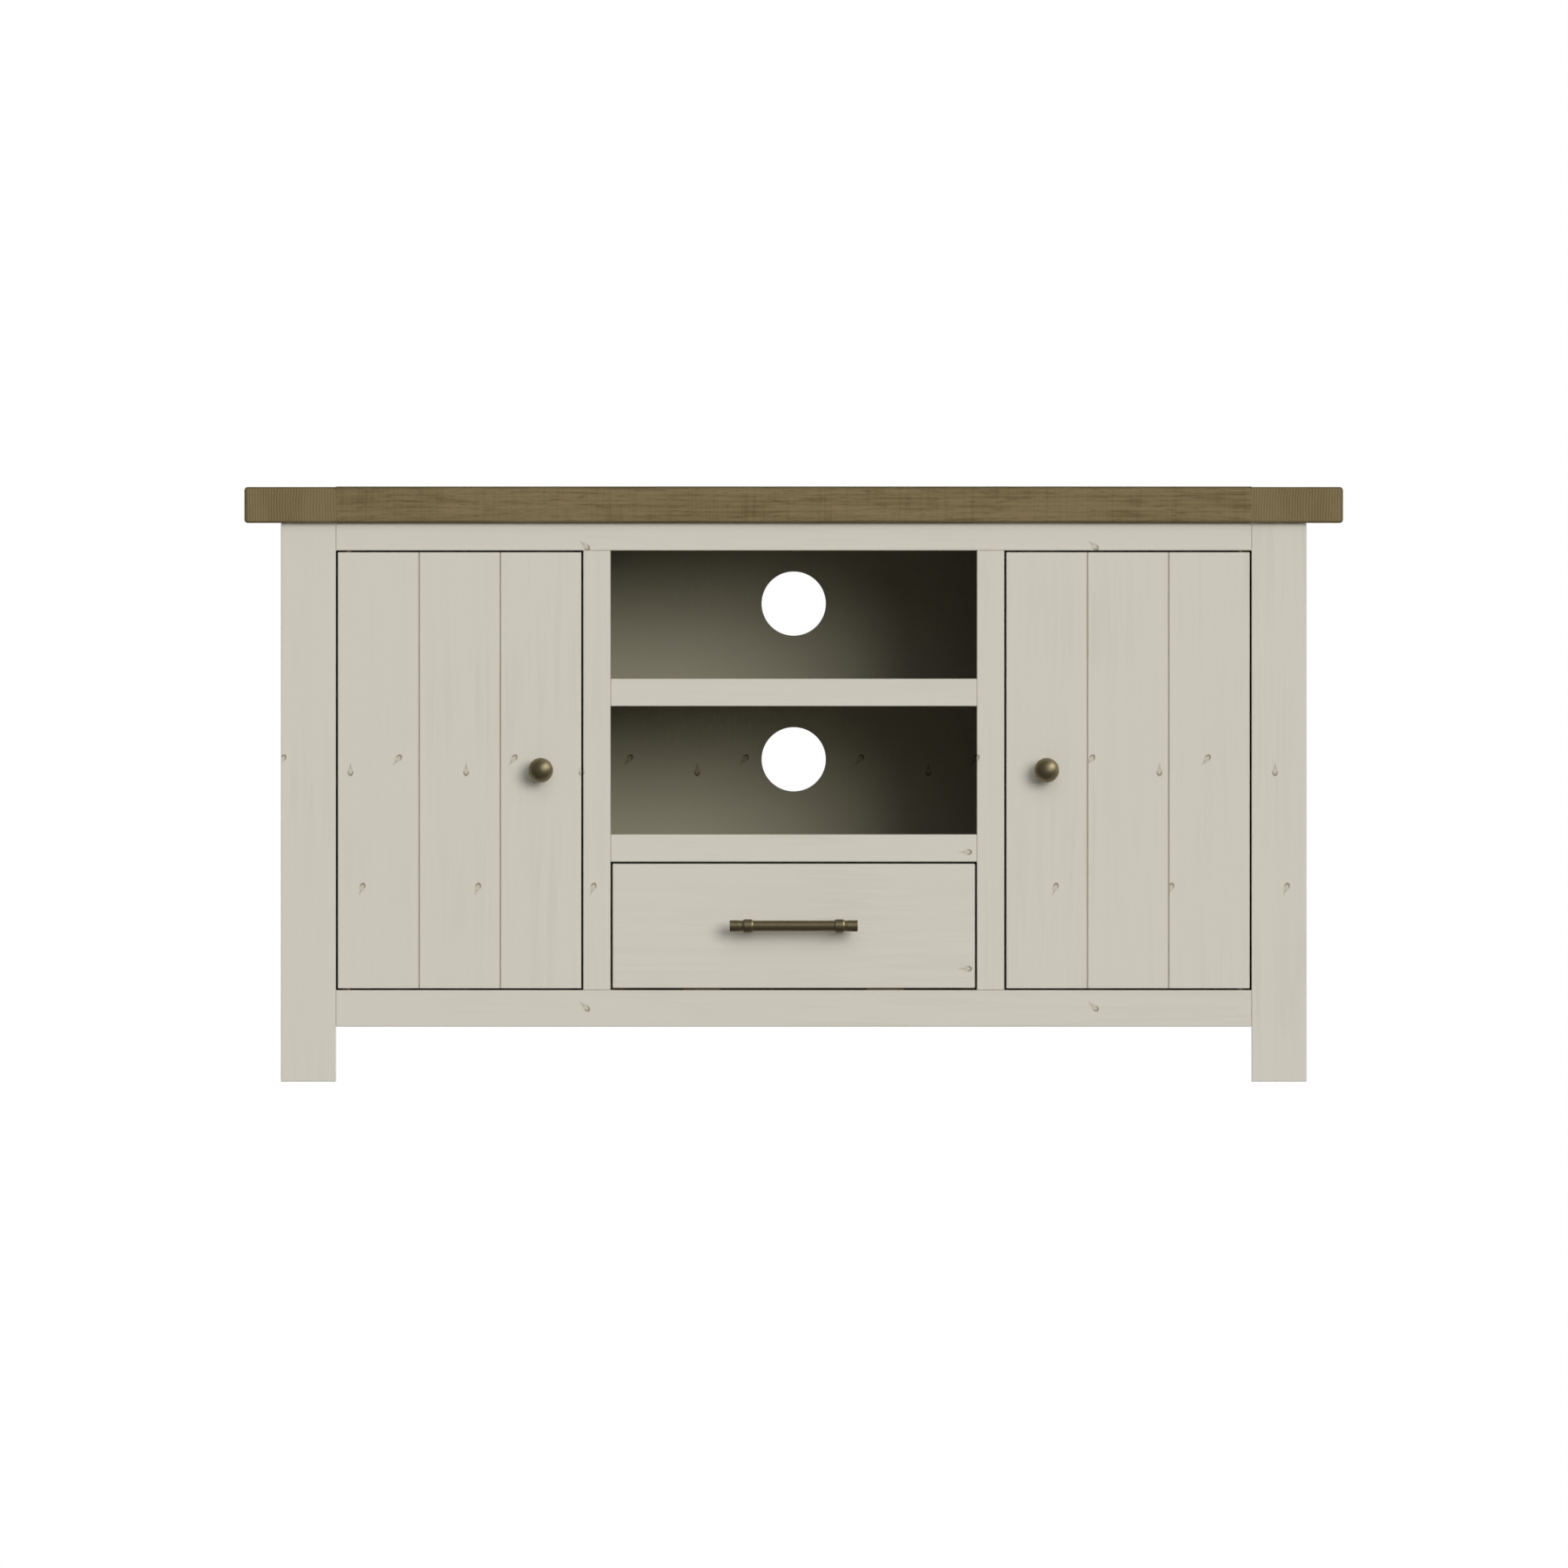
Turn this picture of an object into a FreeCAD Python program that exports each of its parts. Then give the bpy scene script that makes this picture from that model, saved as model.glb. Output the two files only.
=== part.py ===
"""Media cabinet: plank top with end cleats, painted frame, two boarded doors and one drawer.

Lengths are in millimetres. X runs to the right, Y to the back and Z up. The origin lies on the
floor, under the middle of the whole cabinet with its knobs and handle.
"""
import FreeCAD, Part
import os
import Sketcher
from FreeCAD import Placement, Rotation, Vector

os.makedirs("parts", exist_ok=True)
doc = FreeCAD.newDocument("media_cabinet")

# ---------------------------------------------------------------- driving dimensions

sheet = doc.addObject("Spreadsheet::Sheet", "Sizes")
driving_sizes = {
    "overall_width": 1200,
    "overall_height": 650,
    "top_depth": 450,
    "top_thickness": 40,
    "top_side_overhang": 40,
    "top_front_overhang": 10,
    "top_back_overhang": 10,
    "top_edge_radius": 3.5,
    "cleat_width": 100,
    "proud_step": 0.6,
    "top_lane_count": 4,
    "second_lane_left_joint": 178,
    "second_lane_right_joint": 289,
    "third_lane_joint": 20,
    "fourth_lane_left_joint": 250,
    "fourth_lane_right_joint": 150,
    "hardware_reach": 34,
    "post_width": 60,
    "leg_height": 60,
    "bottom_rail_height": 40,
    "thin_rail_height": 30,
    "frame_depth": 45,
    "stile_width": 30,
    "centre_opening": 400,
    "niche_height": 140,
    "edge_round": 1,
    "side_setback": 10,
    "side_rail_thickness": 30,
    "side_board_thickness": 12,
    "side_board_count": 4,
    "back_rail_thickness": 30,
    "back_panel_thickness": 8,
    "cable_hole_radius": 35,
    "cable_hole_height": 82,
    "panel_thickness": 18,
    "door_gap": 2,
    "door_thickness": 20,
    "door_edge_round": 1.5,
    "door_board_count": 3,
    "groove_bevel": 1.2,
    "tongue_length": 6,
    "tongue_share": 0.3,
    "batten_thickness": 12,
    "batten_height": 60,
    "batten_inset": 23,
    "batten_end_distance": 30,
    "pivot_from_edge": 11,
    "pivot_from_front": 7,
    "leaf_width": 10,
    "leaf_length": 45,
    "leaf_thickness": 2.5,
    "leaf_screw_near": 18,
    "leaf_screw_far": 34,
    "pin_radius": 2,
    "pin_length": 12.5,
    "pin_clearance": 0.05,
    "pin_well_clearance": 0.5,
    "pin_well_depth": 1,
    "washer_radius": 4.5,
    "washer_clearance": 0.1,
    "screw_radius": 1.75,
    "screw_head_radius": 3.5,
    "screw_head_height": 1.8,
    "screw_length": 16,
    "batten_screw_length": 26,
    "top_screw_length": 48,
    "outer_top_screw_x": 350,
    "inner_top_screw_x": 60,
    "side_screw_front_reach": 80,
    "side_screw_back_reach": 100,
    "bolt_radius": 2,
    "bolt_grip": 10,
    "bolt_head_radius": 4,
    "bolt_head_height": 2.5,
    "knob_radius": 13.5,
    "knob_neck_radius": 5,
    "knob_foot_radius": 8,
    "knob_foot_height": 3,
    "knob_height": 340,
    "handle_length": 140,
    "handle_radius": 6,
    "handle_end_radius": 6.2,
    "handle_end_width": 11,
    "handle_spacing": 100,
    "collar_radius": 7.25,
    "collar_width": 11,
    "handle_end_ease": 0.8,
    "bore_overrun": 1,
    "post_radius": 4,
    "rosette_radius": 6.8,
    "rosette_height": 3,
    "catch_length": 45,
    "catch_depth": 20,
    "catch_height": 10,
    "catch_inset": 14,
    "catch_screw_inset": 8,
    "plate_thickness": 1.5,
    "plate_height": 14,
    "plate_from_top": 1,
    "plate_clearance": 0.3,
    "drawer_side_thickness": 12,
    "drawer_side_length": 350,
    "drawer_bottom_thickness": 6,
    "drawer_bottom_rise": 8,
    "drawer_side_drop": 4,
    "runner_height": 10,
    "runner_width": 16,
    "runner_clearance": 0.2,
    "stop_width": 40,
    "stop_depth": 20,
    "stop_height": 14,
    "stop_clearance": 0.2,
    "stop_from_middle": 80,
    "shelf_thickness": 18,
    "shelf_top_height": 340,
    "shelf_clearance": 1,
    "shelf_setback": 73,
    "shelf_depth": 295,
    "peg_radius": 2.5,
    "peg_length": 16,
    "peg_pitch": 32,
    "peg_row_count": 5,
    "peg_inset": 30,
}
for row, (alias, number) in enumerate(driving_sizes.items(), start=1):
    sheet.set(f"A{row}", alias)
    sheet.set(f"B{row}", str(number))
    sheet.setAlias(f"B{row}", alias)
doc.recompute()

# ---------------------------------------------------------------- reference planes
# Each is an expression on the sheet, in words of the cabinet maker's drawing.

total_depth = "(Sizes.top_depth + Sizes.hardware_reach - Sizes.top_front_overhang)"
front = f"(Sizes.hardware_reach - {total_depth} / 2)"
top_front = f"({front} - Sizes.top_front_overhang)"
top_back = f"({top_front} + Sizes.top_depth)"
back = f"({top_back} - Sizes.top_back_overhang)"
frame_back = f"({front} + Sizes.frame_depth)"
front_post_back = f"({front} + Sizes.post_width)"
back_post_front = f"({back} - Sizes.post_width)"
back_rail_front = f"({back} - Sizes.back_rail_thickness)"
door_back = f"({front} + Sizes.door_thickness)"

top_outer = "(Sizes.overall_width / 2)"
cleat_inner = f"({top_outer} - Sizes.cleat_width)"
post_outer = f"({top_outer} - Sizes.top_side_overhang)"
post_inner = f"({post_outer} - Sizes.post_width)"
side_rail_outer = f"({post_outer} - Sizes.side_setback)"
side_rail_inner = f"({side_rail_outer} - Sizes.side_rail_thickness)"
side_board_outer = (f"(({side_rail_outer} + {side_rail_inner}) / 2"
                    " + Sizes.side_board_thickness / 2)")
side_board_inner = f"({side_board_outer} - Sizes.side_board_thickness)"
niche_side = "(Sizes.centre_opening / 2)"
stile_outer = f"({niche_side} + Sizes.stile_width)"
partition_outer = f"({niche_side} + Sizes.panel_thickness)"
door_outer = f"({post_inner} - Sizes.door_gap)"
door_inner = f"({stile_outer} + Sizes.door_gap)"
pivot_x = f"({door_outer} - Sizes.pivot_from_edge)"
pivot_y = f"({front} + Sizes.pivot_from_front)"

bottom_rail_low = "Sizes.leg_height"
floor_top = f"({bottom_rail_low} + Sizes.bottom_rail_height)"
floor_low = f"({floor_top} - Sizes.panel_thickness)"
drawer_rail_low = f"({floor_top} + Sizes.niche_height)"
drawer_rail_top = f"({drawer_rail_low} + Sizes.thin_rail_height)"
centre_shelf_low = f"({drawer_rail_top} + Sizes.niche_height)"
centre_shelf_top = f"({centre_shelf_low} + Sizes.thin_rail_height)"
top_under = "(Sizes.overall_height - Sizes.top_thickness)"
top_rail_low = f"({top_under} - Sizes.thin_rail_height)"
door_low = f"({floor_top} + Sizes.door_gap)"
door_top = f"({top_rail_low} - Sizes.door_gap)"

SIDES = (("left", -1), ("right", 1))
UP = Vector(0, 0, 1)
DOWN = Vector(0, 0, -1)
FORWARD = Vector(0, -1, 0)
BACKWARD = Vector(0, 1, 0)

# Points nearer to each other than this are taken as one.
SAME_PLACE = 0.01

pieces = []


# ---------------------------------------------------------------- ways of making a piece

def value(expression):
    """The number that an expression on the sheet stands for."""
    return float(sheet.evalExpression(expression))


def place(item, x, y, z, rotation=None):
    """Puts an item at three expressions, turned first if a rotation is given."""
    if rotation is not None:
        item.Placement = Placement(Vector(), rotation)
    item.setExpression("Placement.Base.x", x)
    item.setExpression("Placement.Base.y", y)
    item.setExpression("Placement.Base.z", z)
    return item


def span(sign, near, far):
    """The low and high X of something that reaches from near to far of the middle."""
    if sign > 0:
        return near, far
    return f"-{far}", f"-{near}"


def mirrored(sign, x):
    """An X on the right, or its mirror on the left."""
    return x if sign > 0 else f"-{x}"


def extent(low_high):
    """The distance from a low expression to a high one."""
    low, high = low_high
    return f"({high}) - ({low})"


def block(name, x, y, z):
    """A square-edged board between a low and a high expression along each axis."""
    board = doc.addObject("Part::Box", name)
    board.setExpression("Length", extent(x))
    board.setExpression("Width", extent(y))
    board.setExpression("Height", extent(z))
    return place(board, x[0], y[0], z[0])


def rod(name, radius, length, x, y, z, direction):
    """A cylinder that starts at a point and runs along a direction."""
    item = doc.addObject("Part::Cylinder", name)
    item.setExpression("Radius", radius)
    item.setExpression("Height", length)
    return place(item, x, y, z, Rotation(UP, direction))


def together(name, members):
    """Several separate solids that share one node."""
    group = doc.addObject("Part::Compound", name)
    group.Links = members
    return group


def joined(name, members):
    """Several solids made one."""
    fused = doc.addObject("Part::MultiFuse", name)
    fused.Shapes = members
    return fused


def cut(name, base, tool):
    """A piece with its holes and housings cut."""
    result = doc.addObject("Part::Cut", name)
    result.Base = base
    result.Tool = tool
    return result


def add_outline(sketch, corners):
    """Closed polygon whose every corner is held by two expressions from the origin."""
    places = [Vector(value(x), value(y), 0) for x, y in corners]
    count = len(places)
    for index in range(count):
        sketch.addGeometry(Part.LineSegment(places[index], places[(index + 1) % count]), False)
    for index in range(count):
        following = (index + 1) % count
        sketch.addConstraint(Sketcher.Constraint("Coincident", index, 2, following, 1))
    for index, (x, y) in enumerate(corners):
        for axis, text in (("X", x), ("Y", y)):
            number = getattr(places[index], axis.lower())
            rule = Sketcher.Constraint(f"Distance{axis}", index, 1, number)
            label = f"corner_{index}_{axis.lower()}"
            sketch.renameConstraint(sketch.addConstraint(rule), label)
            sketch.setExpression(f"Constraints.{label}", text)


def new_sketch(body, name):
    """A sketch on a body's own horizontal origin plane."""
    plane = next(item for item in body.Origin.OriginFeatures if item.Role == "XY_Plane")
    sketch = body.newObject("Sketcher::SketchObject", name)
    sketch.AttachmentSupport = [(plane, "")]
    sketch.MapMode = "FlatFace"
    return sketch


def padded(name, corners, height):
    """A body whose outline lies flat and is padded upwards."""
    body = doc.addObject("PartDesign::Body", name)
    sketch = new_sketch(body, f"{name}_outline")
    add_outline(sketch, corners)
    pad = body.newObject("PartDesign::Pad", f"{name}_pad")
    pad.Profile = sketch
    pad.setExpression("Length", height)
    doc.recompute()
    return body


def turned(name, corners, axis):
    """A body turned about an axis of its sketch."""
    body = doc.addObject("PartDesign::Body", name)
    sketch = new_sketch(body, f"{name}_outline")
    add_outline(sketch, corners)
    turning = body.newObject("PartDesign::Revolution", f"{name}_turning")
    turning.Profile = sketch
    turning.ReferenceAxis = (sketch, [axis])
    turning.Angle = 360
    doc.recompute()
    return body


def rectangle(length, width):
    """Corners of a rectangle from the origin."""
    return [("0", "0"), (length, "0"), (length, width), ("0", width)]


def edges_where(shape, test):
    """Names of the edges whose every end passes the test."""
    names = []
    for index, edge in enumerate(shape.Edges, start=1):
        if all(test(corner.Point) for corner in edge.Vertexes):
            names.append(f"Edge{index}")
    return names


def dress(body, kind, edges, size):
    """A fillet or a chamfer on the named edges of a body's last feature."""
    base = body.Tip
    feature = body.newObject(f"PartDesign::{kind}", f"{body.Name}_{kind.lower()}")
    feature.Base = (base, edges)
    feature.setExpression("Radius" if kind == "Fillet" else "Size", size)
    body.Tip = feature
    doc.recompute()


def eased_board(name, x, y, z, ease="Sizes.edge_round"):
    """A planed board with every edge rounded."""
    body = padded(name, rectangle(extent(x), extent(y)), extent(z))
    every_edge = [f"Edge{index}" for index in range(1, len(body.Shape.Edges) + 1)]
    dress(body, "Fillet", every_edge, ease)
    return place(body, x[0], y[0], z[0])


def screw(name, length, x, y, z, direction):
    """A countersunk wood screw, its head's flat at a point and its tip along a direction."""
    head = doc.addObject("Part::Cone", f"{name}_head")
    head.setExpression("Radius1", "Sizes.screw_head_radius")
    head.setExpression("Radius2", "Sizes.screw_radius")
    head.setExpression("Height", "Sizes.screw_head_height")
    shank = doc.addObject("Part::Cylinder", f"{name}_shank")
    shank.setExpression("Radius", "Sizes.screw_radius")
    shank.setExpression("Height", length)
    whole = joined(name, [head, shank])
    return place(whole, x, y, z, Rotation(UP, direction))


def bolt(name, x, z):
    """A round-headed bolt that comes through a front from behind and holds its hardware."""
    head = doc.addObject("Part::Cylinder", f"{name}_head")
    head.setExpression("Radius", "Sizes.bolt_head_radius")
    head.setExpression("Height", "Sizes.bolt_head_height")
    head.setExpression("Placement.Base.z", "-Sizes.bolt_head_height")
    shank = doc.addObject("Part::Cylinder", f"{name}_shank")
    shank.setExpression("Radius", "Sizes.bolt_radius")
    shank.setExpression("Height", "Sizes.door_thickness + Sizes.bolt_grip")
    whole = joined(name, [head, shank])
    return place(whole, x, door_back, z, Rotation(UP, FORWARD))


def tongued_board(name, width, thickness, length, first, last):
    """An upright board, bevelled at the front of its joints, tongue on its high side.

    The outline runs round the end of the board: front, high side, back, low side.
    """
    bevel = "Sizes.groove_bevel"
    slot = f"({thickness} * (1 - Sizes.tongue_share) / 2)"
    slot_end = f"({thickness} * (1 + Sizes.tongue_share) / 2)"
    tongue = "Sizes.tongue_length"
    corners = [("0", "0")] if first else [("0", bevel), (bevel, "0")]
    if last:
        corners += [(width, "0"), (width, thickness)]
    else:
        corners += [(f"{width} - {bevel}", "0"), (width, bevel), (width, slot)]
        corners += [(f"{width} + {tongue}", slot), (f"{width} + {tongue}", slot_end)]
        corners += [(width, slot_end), (width, thickness)]
    corners += [("0", thickness)]
    if not first:
        corners += [("0", slot_end), (tongue, slot_end), (tongue, slot), ("0", slot)]
    return padded(name, corners, length)


def keep(item):
    """Marks an item as a finished piece, whose label names its file."""
    item.Label = item.Name
    pieces.append(item)
    return item


# ---------------------------------------------------------------- screws that hold the top

top_screws = []
rail_screw_y = f"({front} + Sizes.frame_depth / 2)"
back_screw_y = f"({back} - Sizes.back_rail_thickness / 2)"
side_screw_x = f"(({side_rail_outer} + {side_rail_inner}) / 2)"
for side, sign in SIDES:
    for place_name, x in (("outer", "Sizes.outer_top_screw_x"), ("inner", "Sizes.inner_top_screw_x")):
        for row_name, y in (("front", rail_screw_y), ("back", back_screw_y)):
            top_screws.append(screw(f"top_screw_{row_name}_{place_name}_{side}",
                                    "Sizes.top_screw_length", mirrored(sign, x), y,
                                    top_rail_low, UP))
    for place_name, y in (("front", "-Sizes.side_screw_front_reach"),
                          ("back", "Sizes.side_screw_back_reach")):
        top_screws.append(screw(f"top_screw_side_{place_name}_{side}", "Sizes.top_screw_length",
                                mirrored(sign, side_screw_x), y, top_rail_low, UP))
keep(together("top_screws", top_screws))
top_screw_tool = together("top_screw_holes", top_screws)

# ---------------------------------------------------------------- plank top

lane_width = "(Sizes.top_depth / Sizes.top_lane_count)"
low_plank_height = "(Sizes.top_thickness - Sizes.proud_step)"

# End cleats run from front to back and cover the ends of the planks.
for side, sign in SIDES:
    cleat = padded(f"top_cleat_{side}_blank", rectangle("Sizes.cleat_width", "Sizes.top_depth"),
                   low_plank_height)
    outer_x = value("Sizes.cleat_width") if sign > 0 else 0
    rim = edges_where(cleat.Shape, lambda point: abs(point.x - outer_x) < SAME_PLACE)
    dress(cleat, "Fillet", rim, "Sizes.top_edge_radius")
    place(cleat, span(sign, cleat_inner, top_outer)[0], top_front, top_under)
    keep(cut(f"top_cleat_{side}", cleat, top_screw_tool))

# Four lanes of planks, each lane one node. A joint is the X where two planks of a lane meet.
# The outer planks of the second lane stand a little proud of the rest.
lane_joints = (
    (),
    ("-Sizes.second_lane_left_joint", "Sizes.second_lane_right_joint"),
    ("-Sizes.third_lane_joint",),
    ("-Sizes.fourth_lane_left_joint", "Sizes.fourth_lane_right_joint"))
proud_planks = ((2, 1), (2, 3))
depth_of_lane = value(lane_width)
for lane, inner_joints in enumerate(lane_joints, start=1):
    joints = (f"-{cleat_inner}",) + inner_joints + (cleat_inner,)
    planks = []
    for number, (low, high) in enumerate(zip(joints, joints[1:]), start=1):
        proud = (lane, number) in proud_planks
        height = "Sizes.top_thickness" if proud else low_plank_height
        plank = padded(f"plank_{lane}_{number}", rectangle(extent((low, high)), lane_width), height)
        if lane == 1:
            rim = edges_where(plank.Shape, lambda point: abs(point.y) < SAME_PLACE)
        elif lane == len(lane_joints):
            rim = edges_where(plank.Shape,
                              lambda point: abs(point.y - depth_of_lane) < SAME_PLACE)
        else:
            rim = []
        long_rim = [name for name in rim
                    if plank.Shape.getElement(name).BoundBox.XLength > depth_of_lane]
        if long_rim:
            dress(plank, "Fillet", long_rim, "Sizes.top_edge_radius")
        place(plank, low, f"{top_front} + {lane - 1} * {lane_width}", top_under)
        planks.append(cut(f"plank_{lane}_{number}_bored", plank, top_screw_tool))
    keep(together(f"top_planks_{lane}", planks))

# ---------------------------------------------------------------- pivot hinges and catches

pivot_leaves = {"frame": [], "left": [], "right": []}
leaf_blanks = {"frame": [], "left": [], "right": []}
hinge_pins = []
small_screws = {"frame": [], "left": [], "right": []}
pin_wells = {"left": [], "right": []}
leaf_screw_steps = (("near", "Sizes.leaf_screw_near"), ("far", "Sizes.leaf_screw_far"))


def leaf_blank(name, sign, low):
    """A flat leaf with a round end about the pivot, reaching towards the middle."""
    near = f"({pivot_x} - Sizes.leaf_length)"
    half = "Sizes.leaf_width / 2"
    high = f"({low} + Sizes.leaf_thickness)"
    bar = block(f"{name}_bar", span(sign, near, pivot_x),
                (f"{pivot_y} - {half}", f"{pivot_y} + {half}"), (low, high))
    eye = rod(f"{name}_eye", half, "Sizes.leaf_thickness", mirrored(sign, pivot_x), pivot_y,
              low, UP)
    return [bar, eye]


for side, sign in SIDES:
    for level, rail_face, door_edge, into_door in (
            ("top", top_rail_low, door_top, -1), ("bottom", floor_top, door_low, 1)):
        name = f"{level}_{side}"
        x = mirrored(sign, pivot_x)
        if into_door < 0:
            frame_low = rail_face
            door_leaf_low = f"({door_edge} - Sizes.leaf_thickness)"
            washer_low = f"({door_edge} + Sizes.washer_clearance)"
            pin_low = f"({rail_face} + Sizes.leaf_thickness - Sizes.pin_length)"
            well_low = f"({pin_low} - Sizes.pin_well_depth)"
            frame_way, door_way = UP, DOWN
        else:
            frame_low = f"({rail_face} - Sizes.leaf_thickness)"
            door_leaf_low = door_edge
            washer_low = rail_face
            pin_low = frame_low
            well_low = f"({door_edge} + Sizes.leaf_thickness)"
            frame_way, door_way = DOWN, UP
        well_length = ("Sizes.pin_length - 2 * Sizes.leaf_thickness - Sizes.door_gap"
                       " + Sizes.pin_well_depth")
        pin = rod(f"hinge_pin_{name}", "Sizes.pin_radius", "Sizes.pin_length", x, pivot_y,
                  pin_low, UP)
        hinge_pins.append(pin)
        washer = rod(f"washer_{name}", "Sizes.washer_radius",
                     "Sizes.door_gap - Sizes.washer_clearance", x, pivot_y, washer_low, UP)
        frame_blank = joined(f"frame_leaf_{name}_blank",
                             leaf_blank(f"frame_leaf_{name}", sign, frame_low) + [washer])
        door_blank = joined(f"door_leaf_{name}_blank",
                            leaf_blank(f"door_leaf_{name}", sign, door_leaf_low))
        frame_screws = []
        door_screws = []
        for step_name, step in leaf_screw_steps:
            screw_x = mirrored(sign, f"({pivot_x} - {step})")
            frame_screws.append(screw(f"frame_leaf_screw_{name}_{step_name}",
                                      "Sizes.screw_length", screw_x, pivot_y, rail_face,
                                      frame_way))
            door_screws.append(screw(f"door_leaf_screw_{name}_{step_name}",
                                     "Sizes.screw_length", screw_x, pivot_y, door_edge,
                                     door_way))
        running_hole = rod(f"running_hole_{name}", "Sizes.pin_radius + Sizes.pin_clearance",
                           "Sizes.pin_length", x, pivot_y, pin_low, UP)
        pin_wells[side].append(rod(f"pin_well_{name}",
                                   "Sizes.pin_radius + Sizes.pin_well_clearance", well_length,
                                   x, pivot_y, well_low, UP))
        frame_leaf = cut(f"frame_leaf_{name}", frame_blank,
                         together(f"frame_leaf_{name}_holes", frame_screws + [pin]))
        door_leaf = cut(f"door_leaf_{name}", door_blank,
                        together(f"door_leaf_{name}_holes", door_screws + [running_hole]))
        leaf_blanks["frame"].append(frame_blank)
        leaf_blanks[side].append(door_blank)
        pivot_leaves["frame"].append(frame_leaf)
        pivot_leaves[side].append(door_leaf)
        small_screws["frame"] += frame_screws
        small_screws[side] += door_screws

keep(together("hinge_frame_leaves", pivot_leaves["frame"]))
keep(together("hinge_pins", hinge_pins))

# Magnetic catches hang under the top rail, by the free edges of the doors.
plate_face = f"({door_back} + Sizes.plate_thickness)"
catch_front = f"({plate_face} + Sizes.plate_clearance)"
catch_low = f"({top_rail_low} - Sizes.catch_height)"
catch_near = f"({door_inner} + Sizes.catch_inset)"
catch_far = f"({catch_near} + Sizes.catch_length)"
catch_screw_ends = (("near", f"({catch_near} + Sizes.catch_screw_inset)"),
                    ("far", f"({catch_far} - Sizes.catch_screw_inset)"))
catch_bodies = []
catch_screws = []
for side, sign in SIDES:
    case = block(f"catch_{side}_case", span(sign, catch_near, catch_far),
                 (catch_front, f"{catch_front} + Sizes.catch_depth"), (catch_low, top_rail_low))
    own_screws = []
    for end, x in catch_screw_ends:
        own_screws.append(screw(f"catch_screw_{side}_{end}", "Sizes.screw_length",
                                mirrored(sign, x), f"{catch_front} + Sizes.catch_depth / 2",
                                catch_low, UP))
    catch_bodies.append(cut(f"catch_{side}", case,
                            together(f"catch_{side}_holes", own_screws)))
    catch_screws += own_screws
keep(together("catch_bodies", catch_bodies))
small_screws["frame"] += catch_screws
keep(together("frame_screws", small_screws["frame"]))

# ---------------------------------------------------------------- painted frame

for side, sign in SIDES:
    x = span(sign, post_inner, post_outer)
    keep(eased_board(f"front_post_{side}", x, (front, front_post_back), ("0", top_under)))
    keep(eased_board(f"back_post_{side}", x, (back_post_front, back), ("0", top_under)))

between_posts = (f"-{post_inner}", post_inner)
frame_y = (front, frame_back)
housings = joined("frame_housings", leaf_blanks["frame"] + small_screws["frame"] + top_screws)
top_rail_blank = eased_board("front_top_rail_blank", between_posts, frame_y,
                             (top_rail_low, top_under))
keep(cut("front_top_rail", top_rail_blank, housings))
bottom_rail_blank = eased_board("front_bottom_rail_blank", between_posts, frame_y,
                                (bottom_rail_low, floor_top))
keep(cut("front_bottom_rail", bottom_rail_blank, housings))
for side, sign in SIDES:
    keep(eased_board(f"stile_{side}", span(sign, niche_side, stile_outer), frame_y,
                     (floor_top, top_rail_low)))
across_niche = (f"-{niche_side}", niche_side)
keep(eased_board("drawer_rail", across_niche, frame_y, (drawer_rail_low, drawer_rail_top)))

side_y = (front_post_back, back_post_front)
for side, sign in SIDES:
    x = span(sign, side_rail_inner, side_rail_outer)
    lower = eased_board(f"side_rail_{side}_lower", x, side_y, (bottom_rail_low, floor_top))
    upper_blank = eased_board(f"side_rail_{side}_upper_blank", x, side_y,
                              (top_rail_low, top_under))
    upper = cut(f"side_rail_{side}_upper", upper_blank, top_screw_tool)
    keep(together(f"side_rails_{side}", [lower, upper]))

back_y = (back_rail_front, back)
back_lower = eased_board("back_rail_lower", between_posts, back_y, (bottom_rail_low, floor_top))
back_upper_blank = eased_board("back_rail_upper_blank", between_posts, back_y,
                               (top_rail_low, top_under))
back_upper = cut("back_rail_upper", back_upper_blank, top_screw_tool)
keep(together("back_rails", [back_lower, back_upper]))

# ---------------------------------------------------------------- floor, partitions and shelves

floor_corners = [
    (f"-{post_inner}", frame_back), (post_inner, frame_back),
    (post_inner, front_post_back), (side_rail_inner, front_post_back),
    (side_rail_inner, back_post_front), (post_inner, back_post_front),
    (post_inner, back_rail_front), (f"-{post_inner}", back_rail_front),
    (f"-{post_inner}", back_post_front), (f"-{side_rail_inner}", back_post_front),
    (f"-{side_rail_inner}", front_post_back), (f"-{post_inner}", front_post_back)]
keep(place(padded("cabinet_floor", floor_corners, "Sizes.panel_thickness"), "0", "0", floor_low))

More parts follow.
